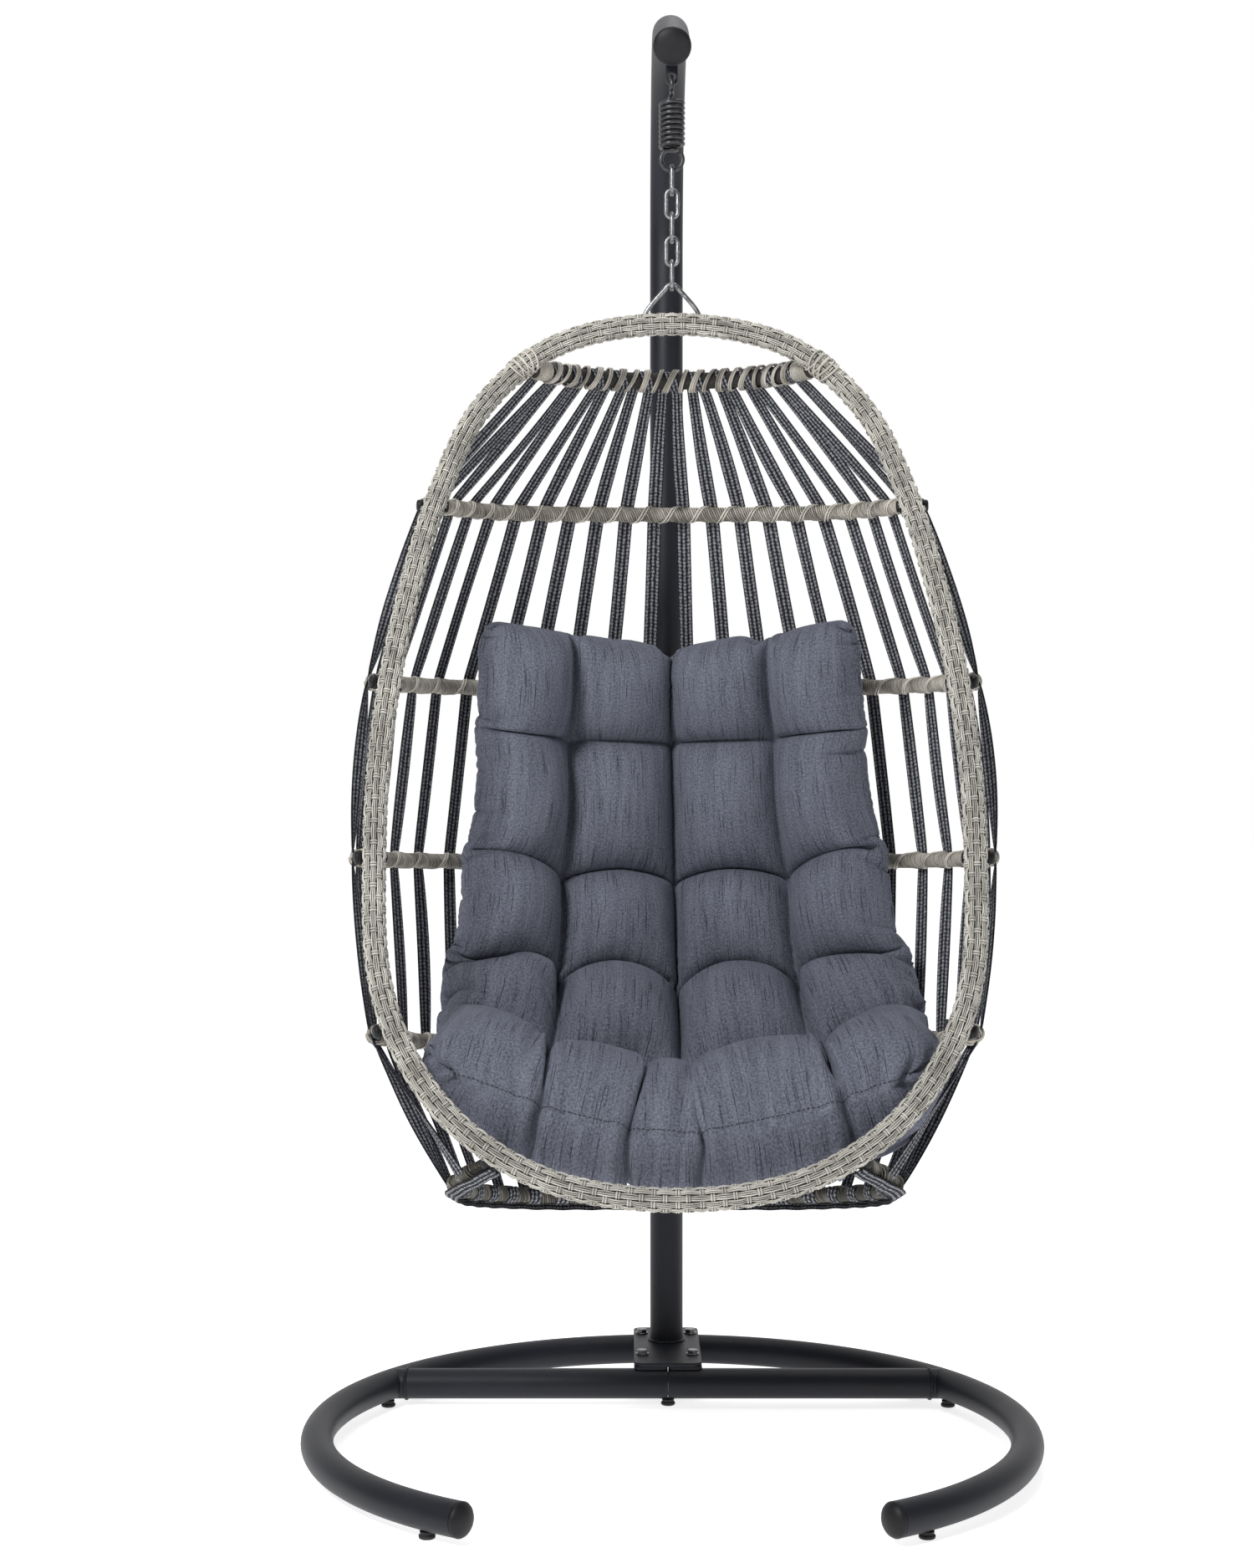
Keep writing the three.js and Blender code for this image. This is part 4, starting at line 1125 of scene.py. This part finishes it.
def cloth_noise(rows, columns):
    """A smooth random field, mostly between -1 and 1."""
    rng = np.random.default_rng(CLOTH_SEED)
    v, u = np.meshgrid(np.linspace(0, 1.7, rows), np.linspace(0, 1, columns), indexing="ij")
    field = np.zeros((rows, columns))
    for _ in range(24):
        kv, ku = rng.normal(0, 9, 2)
        field += np.sin(2 * np.pi * (kv * v + ku * u) + rng.uniform(0, 6.3))
    return field / 5


def cloth_lengths(nu, nv, width, length):
    """Rest lengths of the flat cloth: across, down and along its diagonals."""
    v = np.linspace(0, 1, nv)
    columns, rows = seam_lines(nu, nv)
    across = 2 * width / (nu - 1)
    down = length / (nv - 1)
    slack_across = 1.24 + 0.10 * smoothstep(v, 0.8, 0.95)
    slack_down = np.where(v > PAD_ROWS[4], 1.08, 1.17)
    ru = np.repeat((across * slack_across)[:, None], nu - 1, 1)
    rv = np.repeat((down * 0.5 * (slack_down[1:] + slack_down[:-1]))[:, None], nu, 1)
    diagonal = np.hypot(0.5 * (ru[1:] + ru[:-1]), 0.5 * (rv[:, 1:] + rv[:, :-1]))
    for row in (0, -1):
        ru[row] = across[row] * 1.06
    rv[:, 0] = rv[:, -1] = down * 1.03
    grain = cloth_noise(nv, nu)
    ru *= 1 + 0.05 * grain[:, 1:]
    rv *= 1 + 0.05 * grain[1:]
    rv[:, columns[1:-1]] *= 0.90
    ru[rows[1:-1]] *= 0.86
    return ru[None, ..., None], rv[None, ..., None], diagonal[None, ..., None]


def pad_threads(nu, nv):
    """Pairs of top and bottom vertices that are held together, and how far apart each may be."""
    reach = np.full((nv, nu), np.inf)
    columns, rows = seam_lines(nu, nv)

    def slack(first, last, extra):
        """Lengths of thread between two tufts, longest half way."""
        return PAD_THREAD + extra * np.sin(np.pi * np.linspace(0, 1, last - first + 1)) ** 0.8

    for c in columns[1:-1]:
        for r0, r1 in zip(rows, rows[1:-1]):
            deepest = 0.034 if c == columns[2] else 0.060
            reach[r0 : r1 + 1, c] = slack(r0, r1, deepest - PAD_THREAD)
    for r in rows[1:-1]:
        for c0, c1 in zip(columns, columns[1:]):
            line = slack(c0, c1, 0.058 if r == rows[1] else 0.036)
            reach[r, c0 : c1 + 1] = np.minimum(reach[r, c0 : c1 + 1], line)
    t = np.linspace(0, 1, rows[-1] - rows[-2] + 1)
    for gather in PAD_GATHERS:
        c = int(round((gather + 1) / 2 * (nu - 1)))
        held = 0.012 + 0.34 * t * (1 - 0.72 * t)
        reach[rows[-2] :, c] = np.minimum(reach[rows[-2] :, c], held)
    i, j = np.nonzero(np.isfinite(reach))
    return i, j, reach[i, j][:, None]


def hold_length(p, q, rest, push):
    """Moves the ends of every edge towards its rest length; push is its share in compression."""
    gap = q - p
    size = np.sqrt((gap * gap).sum(-1, keepdims=True)) + 1e-12
    share = (size - rest) / size
    share = np.where(share > 0, share, np.maximum(share, -1) * push) * 0.5
    p += gap * share
    q -= gap * share


def relax_cloth(pad, lengths, push, bend):
    ru, rv, diagonal = lengths
    nv, nu = pad.shape[1:3]
    for s in (0, 1):
        hold_length(pad[:, :, s : nu - 1 : 2], pad[:, :, s + 1 :: 2], ru[:, :, s::2], push)
        hold_length(pad[:, s : nv - 1 : 2], pad[:, s + 1 :: 2], rv[:, s::2], push)
    for s in (0, 1):
        hold_length(pad[:, s : nv - 1 : 2, :-1], pad[:, s + 1 :: 2, 1:], diagonal[:, s::2], push)
        hold_length(pad[:, s : nv - 1 : 2, 1:], pad[:, s + 1 :: 2, :-1], diagonal[:, s::2], push)
    pad[:, :, 1:-1] += bend * (0.5 * (pad[:, :, :-2] + pad[:, :, 2:]) - pad[:, :, 1:-1])
    pad[:, 1:-1] += bend * (0.5 * (pad[:, :-2] + pad[:, 2:]) - pad[:, 1:-1])


def keep_apart(pad, columns, rows, down):
    """Stops each puff from passing through its neighbours at the seams."""
    gap = 0.0006
    open_front = slice(0, rows[-2])
    for c0, c1 in zip(columns, columns[1:]):
        low = pad[:, open_front, c0 : c0 + 1, 0] + (gap if c0 > 0 else -1)
        high = pad[:, open_front, c1 : c1 + 1, 0] - (gap if c1 < columns[-1] else -1)
        cell = pad[:, open_front, c0 + 1 : c1, 0]
        pad[:, open_front, c0 + 1 : c1, 0] = np.clip(cell, low, high)
    for r0, r1 in zip(rows, rows[1:]):
        for line, sign in ((r0, 1), (r1, -1)):
            if line not in (rows[0], rows[-1]):
                t = sign * down[line][None, None]
                inner = pad[:, r0 + 1 : r1]
                ahead = ((inner - pad[:, line : line + 1]) * t).sum(-1, keepdims=True)
                inner += t * np.maximum(gap - ahead, 0)


def resample(pad, nu, nv):
    for axis, count in ((1, nv), (2, nu)):
        x = np.linspace(0, pad.shape[axis] - 1, count)
        i = np.clip(x.astype(int), 0, pad.shape[axis] - 2)
        f = (x - i).reshape([-1 if k == axis else 1 for k in range(4)])
        pad = np.take(pad, i, axis) * (1 - f) + np.take(pad, i + 1, axis) * f
    return pad


def lift_cloth(pad, normal, pressure, cell):
    """Pushes each sheet outward by the pressure on its area."""
    area = np.cross(np.gradient(pad, axis=1), np.gradient(pad, axis=2)) / cell**2
    area[0] *= np.sign((area[0] * normal).sum())
    area[1] *= -np.sign((area[1] * normal).sum())
    size = np.linalg.norm(area, axis=-1, keepdims=True)
    pad += area / np.maximum(size, 1) * pressure * cell


def pull_threads(pad, threads):
    ti, tj, reach = threads
    gap = pad[0, ti, tj] - pad[1, ti, tj]
    size = np.linalg.norm(gap, axis=1, keepdims=True) + 1e-12
    pull = gap * np.clip((size - reach) / size, 0, 1) * 0.5
    pad[0, ti, tj] -= pull
    pad[1, ti, tj] += pull


def close_seam(pad, edge, hold):
    """Joins the two sheets round their rim and draws the rim towards its place."""
    for side in ((slice(None), 0), (slice(None), -1), (0, slice(None)), (-1, slice(None))):
        mean = 0.5 * (pad[0][side] + pad[1][side])
        pad[0][side] = pad[1][side] = mean + (edge[side] - mean) * hold[side]


def inflate(nu, nv, rounds, pressure, push, bend, pad=None):
    """Blows up two sheets of cloth, tufted together and gathered along their outer seam."""
    middle, normal, down, width, length = pad_middle(nu, nv)
    if pad is None:
        pad = np.stack([middle + normal * 0.004, middle - normal * 0.004])
        pad += np.random.default_rng(CLOTH_SEED).normal(0, 0.0006, pad.shape)
    else:
        pad = resample(pad, nu, nv)
    lengths = cloth_lengths(nu, nv, width, length)
    threads = pad_threads(nu, nv)
    columns, rows = seam_lines(nu, nv)
    tufts = tuple(np.array([(r, c) for r in rows[1:-1] for c in columns[1:-1]]).T)
    v = np.linspace(0, 1, nv)
    floor = middle - normal * (0.048 + 0.020 * smoothstep(v, 0.6, 0.9))[:, None, None]
    edge = middle.copy()
    hold = np.full((nv, nu, 1), 0.012)
    for c, drop in zip(columns[1:-1], PAD_TOP_DROPS):
        edge[0, c, 2] -= drop
        hold[0, c] = 0.2
    cell = length / (nv - 1)
    speed = np.zeros_like(pad)
    for _ in range(rounds):
        before = pad.copy()
        pad += speed * 0.85
        lift_cloth(pad, normal, pressure, cell)
        for _ in range(2):
            relax_cloth(pad, lengths, push, bend)
            pull_threads(pad, threads)
            close_seam(pad, edge, hold)
            for sheet, side in ((0, 1), (1, -1)):
                place = middle[tufts] + side * 0.004 * normal[tufts]
                pad[sheet][tufts] += (place - pad[sheet][tufts]) * 0.25
            depth = ((pad[1] - floor) * normal).sum(-1, keepdims=True)
            pad[1] -= normal * np.minimum(depth, 0)
            keep_apart(pad, columns, rows, down)
        speed = pad - before
        size = np.linalg.norm(speed, axis=-1, keepdims=True)
        speed *= np.minimum(1, 0.25 * cell / (size + 1e-12))
    return pad


def rounder(pad, normal, u, v):
    """Raises the middle of every puff between the tufts on the upper cloth."""
    height = 1.0
    for at, lines in ((v, np.array(PAD_ROWS)), ((u + 1) / 2, (np.array(PAD_COLUMNS) + 1) / 2)):
        cell = np.clip(np.searchsorted(lines, at, side="right") - 1, 0, len(lines) - 2)
        share = (at - lines[cell]) / (lines[cell + 1] - lines[cell])
        height = height * np.sin(math.pi * np.clip(share, 0, 1)) ** 0.6
    pad[0] += normal * (PAD_RISE * height * (1 - smoothstep(v, 0.72, 0.78)))[..., None]


def arched_rows(pad, down, u, v):
    """Draws the cloth up between the tufts, so that the row seams arch and climb to the sides."""
    nv, nu = pad.shape[1:3]
    columns = np.array(seam_lines(nu, nv)[0])
    j = np.arange(nu)
    cell = np.clip(np.searchsorted(columns, j, side="right") - 1, 0, len(columns) - 2)
    share = (j - columns[cell]) / (columns[cell + 1] - columns[cell])
    arch = (0.002 + 0.030 * smoothstep(v, 0.17, 0.58)) * np.abs(np.sin(math.pi * share)) ** 0.8
    outer = np.clip((np.abs(u) - PAD_COLUMNS[3]) / (1 - PAD_COLUMNS[3]), 0, 1)
    climb = (0.010 + 0.016 * smoothstep(v, 0.15, 0.55)) * outer
    fade = smoothstep(v, 0.02, 0.12) * (1 - smoothstep(v, 0.70, 0.85))
    pad -= down * ((arch * (1 - 0.4 * outer) + climb) * fade)[..., None]


def top_edge(pad, u, v):
    """Lets the top edge sag, notches it at the seams and rounds its corners."""
    near_edge = 1 - smoothstep(v, 0.0, 0.07)
    sag = 0.034 * (1 - np.abs(u) ** 1.3) * (1 - smoothstep(v, 0.0, 0.17))
    notch = 0.012 * bell(u, 0.05) + 0.014 * bell(u - 0.46, 0.045)
    corner = np.abs(u) ** 6 * near_edge
    rise = 0.016 * (1 - smoothstep(v, 0.0, 0.15))
    pad[..., 2] += rise - sag - notch * near_edge - 0.012 * corner
    pad[..., 0] *= 1 - 0.07 * corner


def full_front(pad, u, v):
    """Lets the underside of the front roll hang lower."""
    roll = smoothstep(v, 0.68, 0.84) * (1 - smoothstep(v, 0.94, 1.0))
    pad[1, ..., 2] -= PAD_HANG * roll * (1 - u**4)


def smooth_cloth(pad, rounds=2, share=0.4):
    for _ in range(rounds):
        inner = pad[:, 1:-1, 1:-1]
        beside = pad[:, :-2, 1:-1] + pad[:, 2:, 1:-1] + pad[:, 1:-1, :-2] + pad[:, 1:-1, 2:]
        inner += share * (0.25 * beside - inner)


def front_folds(pad, normal, down, u, v):
    """Presses deep folds into the front roll, each a pinched valley with a ridge beside it."""
    edge = smoothstep(v, 0.93, 1.0)
    for k, place in enumerate(PAD_GATHERS):
        off = u - place - 0.016 * np.sin(v * 34 + k * 2)
        ridge = 0.055 * (-1) ** k
        fold = FOLD_RIDGE * bell(off - ridge, 0.030) - FOLD_DEPTH * bell(off, 0.026)
        for crease in CREASES:
            fan = off - crease * (0.7 + 1.6 * (v - 0.8))
            fold -= CREASE_DEPTH * bell(fan, 0.014) * smoothstep(v, 0.80, 0.88)
        pinch = -FOLD_PINCH * off * bell(off, 0.06)
        for sheet, side, start in ((0, 1, 0.76), (1, -1, 0.86)):
            reach = smoothstep(v, start, start + 0.05)
            pad[sheet] += normal * (side * reach * (1 - edge) * fold)[..., None]
            pad[sheet] += down * (0.7 * edge * fold)[..., None]
            pad[sheet, ..., 0] += reach * pinch


def inside_straps(pad):
    """Keeps the pad's sides within the straps that run down to the bottom bar."""
    limit = 0.250 + 0.57 * np.maximum(pad[..., 2] - 0.392, 0)
    pad[..., 0] = np.clip(pad[..., 0], -limit, limit)


def shaped_pad():
    """Inflates the pad, then draws in what the coarse cloth cannot show."""
    pad = inflate(*COARSE_CLOTH, 300, pressure=0.06, push=0.9, bend=0.04)
    pad = inflate(*FINE_CLOTH, 160, pressure=0.02, push=1.0, bend=0.02, pad=pad)
    nv, nu = pad.shape[1:3]
    u, v = pad_uv(nu, nv)
    _, normal, down, _, _ = pad_middle(nu, nv)
    rounder(pad, normal, u, v)
    arched_rows(pad, down, u, v)
    top_edge(pad, u, v)
    full_front(pad, u, v)
    smooth_cloth(pad)
    front_folds(pad, normal, down, u, v)
    inside_straps(pad)
    return pad


def cushion():
    pad = shaped_pad()
    nv, nu = pad.shape[1:3]
    uv = grid_uv(np.linspace(-0.33, 0.33, nu), np.linspace(0, 1.07, nv))
    b = Builder()
    b.grid(pad[0], closed_round=False, uv=uv)
    b.grid(pad[1][:, ::-1], closed_round=False, uv=uv[:, ::-1] + [0.9, 0])
    obj = made(b, "tufted_cushion", FABRIC, "basket", "cushion")
    weld = obj.modifiers.new("seam", "WELD")
    weld.merge_threshold = 0.00005
    front_stitching(pad[0])


def front_stitching(sheet):
    """A dashed line of thread along the front seam, on the upper cloth."""
    out = unit(np.cross(np.gradient(sheet, axis=0), np.gradient(sheet, axis=1)))[-3]
    out *= np.sign(-out[:, 1:2] + out[:, 2:3])
    line = Path(sheet[-3])
    lift = 0.0003 - 0.0007 * np.abs(np.linspace(-1, 1, 5)) ** 3
    b = Builder()
    for start in np.arange(SEAM_ENDS, line.length - SEAM_ENDS, STITCH_STEP):
        s = start + np.linspace(0, STITCH, 5)
        normal = np.stack([np.interp(s, line.at, out[:, k]) for k in range(3)], -1)
        b.tube(line.place(s) + normal * lift[:, None], STITCH_RADIUS, 6)
    made(b, "seam_thread", THREAD, "basket")


# ---- Room, light and camera ------------------------------------------------------------
def bright_behind():
    """A world that is white behind the chair and dimmer on the viewer's side."""
    world = bpy.data.worlds.new("studio")
    bpy.context.scene.world = world
    world.use_nodes = True
    tree = world.node_tree
    source = tree.nodes.new("ShaderNodeTexCoord")
    parts = tree.nodes.new("ShaderNodeSeparateXYZ")
    ramp = tree.nodes.new("ShaderNodeValToRGB")
    tree.links.new(source.outputs["Generated"], parts.inputs[0])
    tree.links.new(parts.outputs["Y"], ramp.inputs[0])
    near, far = ramp.color_ramp.elements
    near.position, near.color = 0.10, (0.14, 0.14, 0.15, 1)
    far.position, far.color = 0.75, (1, 1, 1, 1)
    tree.links.new(ramp.outputs[0], tree.nodes["Background"].inputs[0])


def add_object(name, data, place=(0, 0, 0)):
    obj = bpy.data.objects.new(name, data)
    obj.location = place
    bpy.context.scene.collection.objects.link(obj)
    return obj


def studio():
    mesh = bpy.data.meshes.new("floor")
    mesh.from_pydata([(-40, -40, 0), (40, -40, 0), (40, 40, 0), (-40, 40, 0)], [], [(0, 1, 2, 3)])
    floor = add_object("floor", mesh)
    s = Shader("pale_floor", Roughness=0.7, Base_Color=(0.80, 0.80, 0.80, 1),
               Specular_IOR_Level=0.1, Emission_Color=(1, 1, 1, 1), Emission_Strength=0.76)
    mesh.materials.append(s.material)
    for name, place, size, power in (
        ("key", (-1.7, -2.7, 3.0), 1.0, 112), ("fill", (2.8, -2.6, 1.6), 2.4, 14),
        ("top", (0.2, 0.2, 3.6), 1.4, 30),
    ):
        lamp = bpy.data.lights.new(name, "AREA")
        lamp.size = size
        lamp.energy = power
        obj = add_object(name, lamp, place)
        aim = Vector((0, 0, 0.9)) - obj.location
        obj.rotation_euler = aim.to_track_quat("-Z", "Y").to_euler()
    bpy.context.scene.view_settings.view_transform = "Standard"


def camera():
    data = bpy.data.cameras.new("camera")
    data.sensor_fit = "HORIZONTAL"
    data.sensor_width = 36
    data.lens = 67.8
    data.shift_y = 0.013
    obj = add_object("camera", data, (-0.058, BACK - 3.092, 0.854))
    obj.rotation_euler = (math.radians(90), 0, 0)
    bpy.context.scene.camera = obj


camera()
bright_behind()
studio()
for side, word in SIDES:
    base_half(side, word)
feet()
plate_bolts()
pole_lower()
pole_upper()
joint_bolt()
inner_joiners()
spring()
chain()
hanger()
rim_weave()
wound_top_bar()
for index in range(1, len(BARS)):
    wound_bar(index)
rib_bolts()
for loop in range(STRAP_COUNT // 2):
    strap(loop)
bottom_band()
cushion()
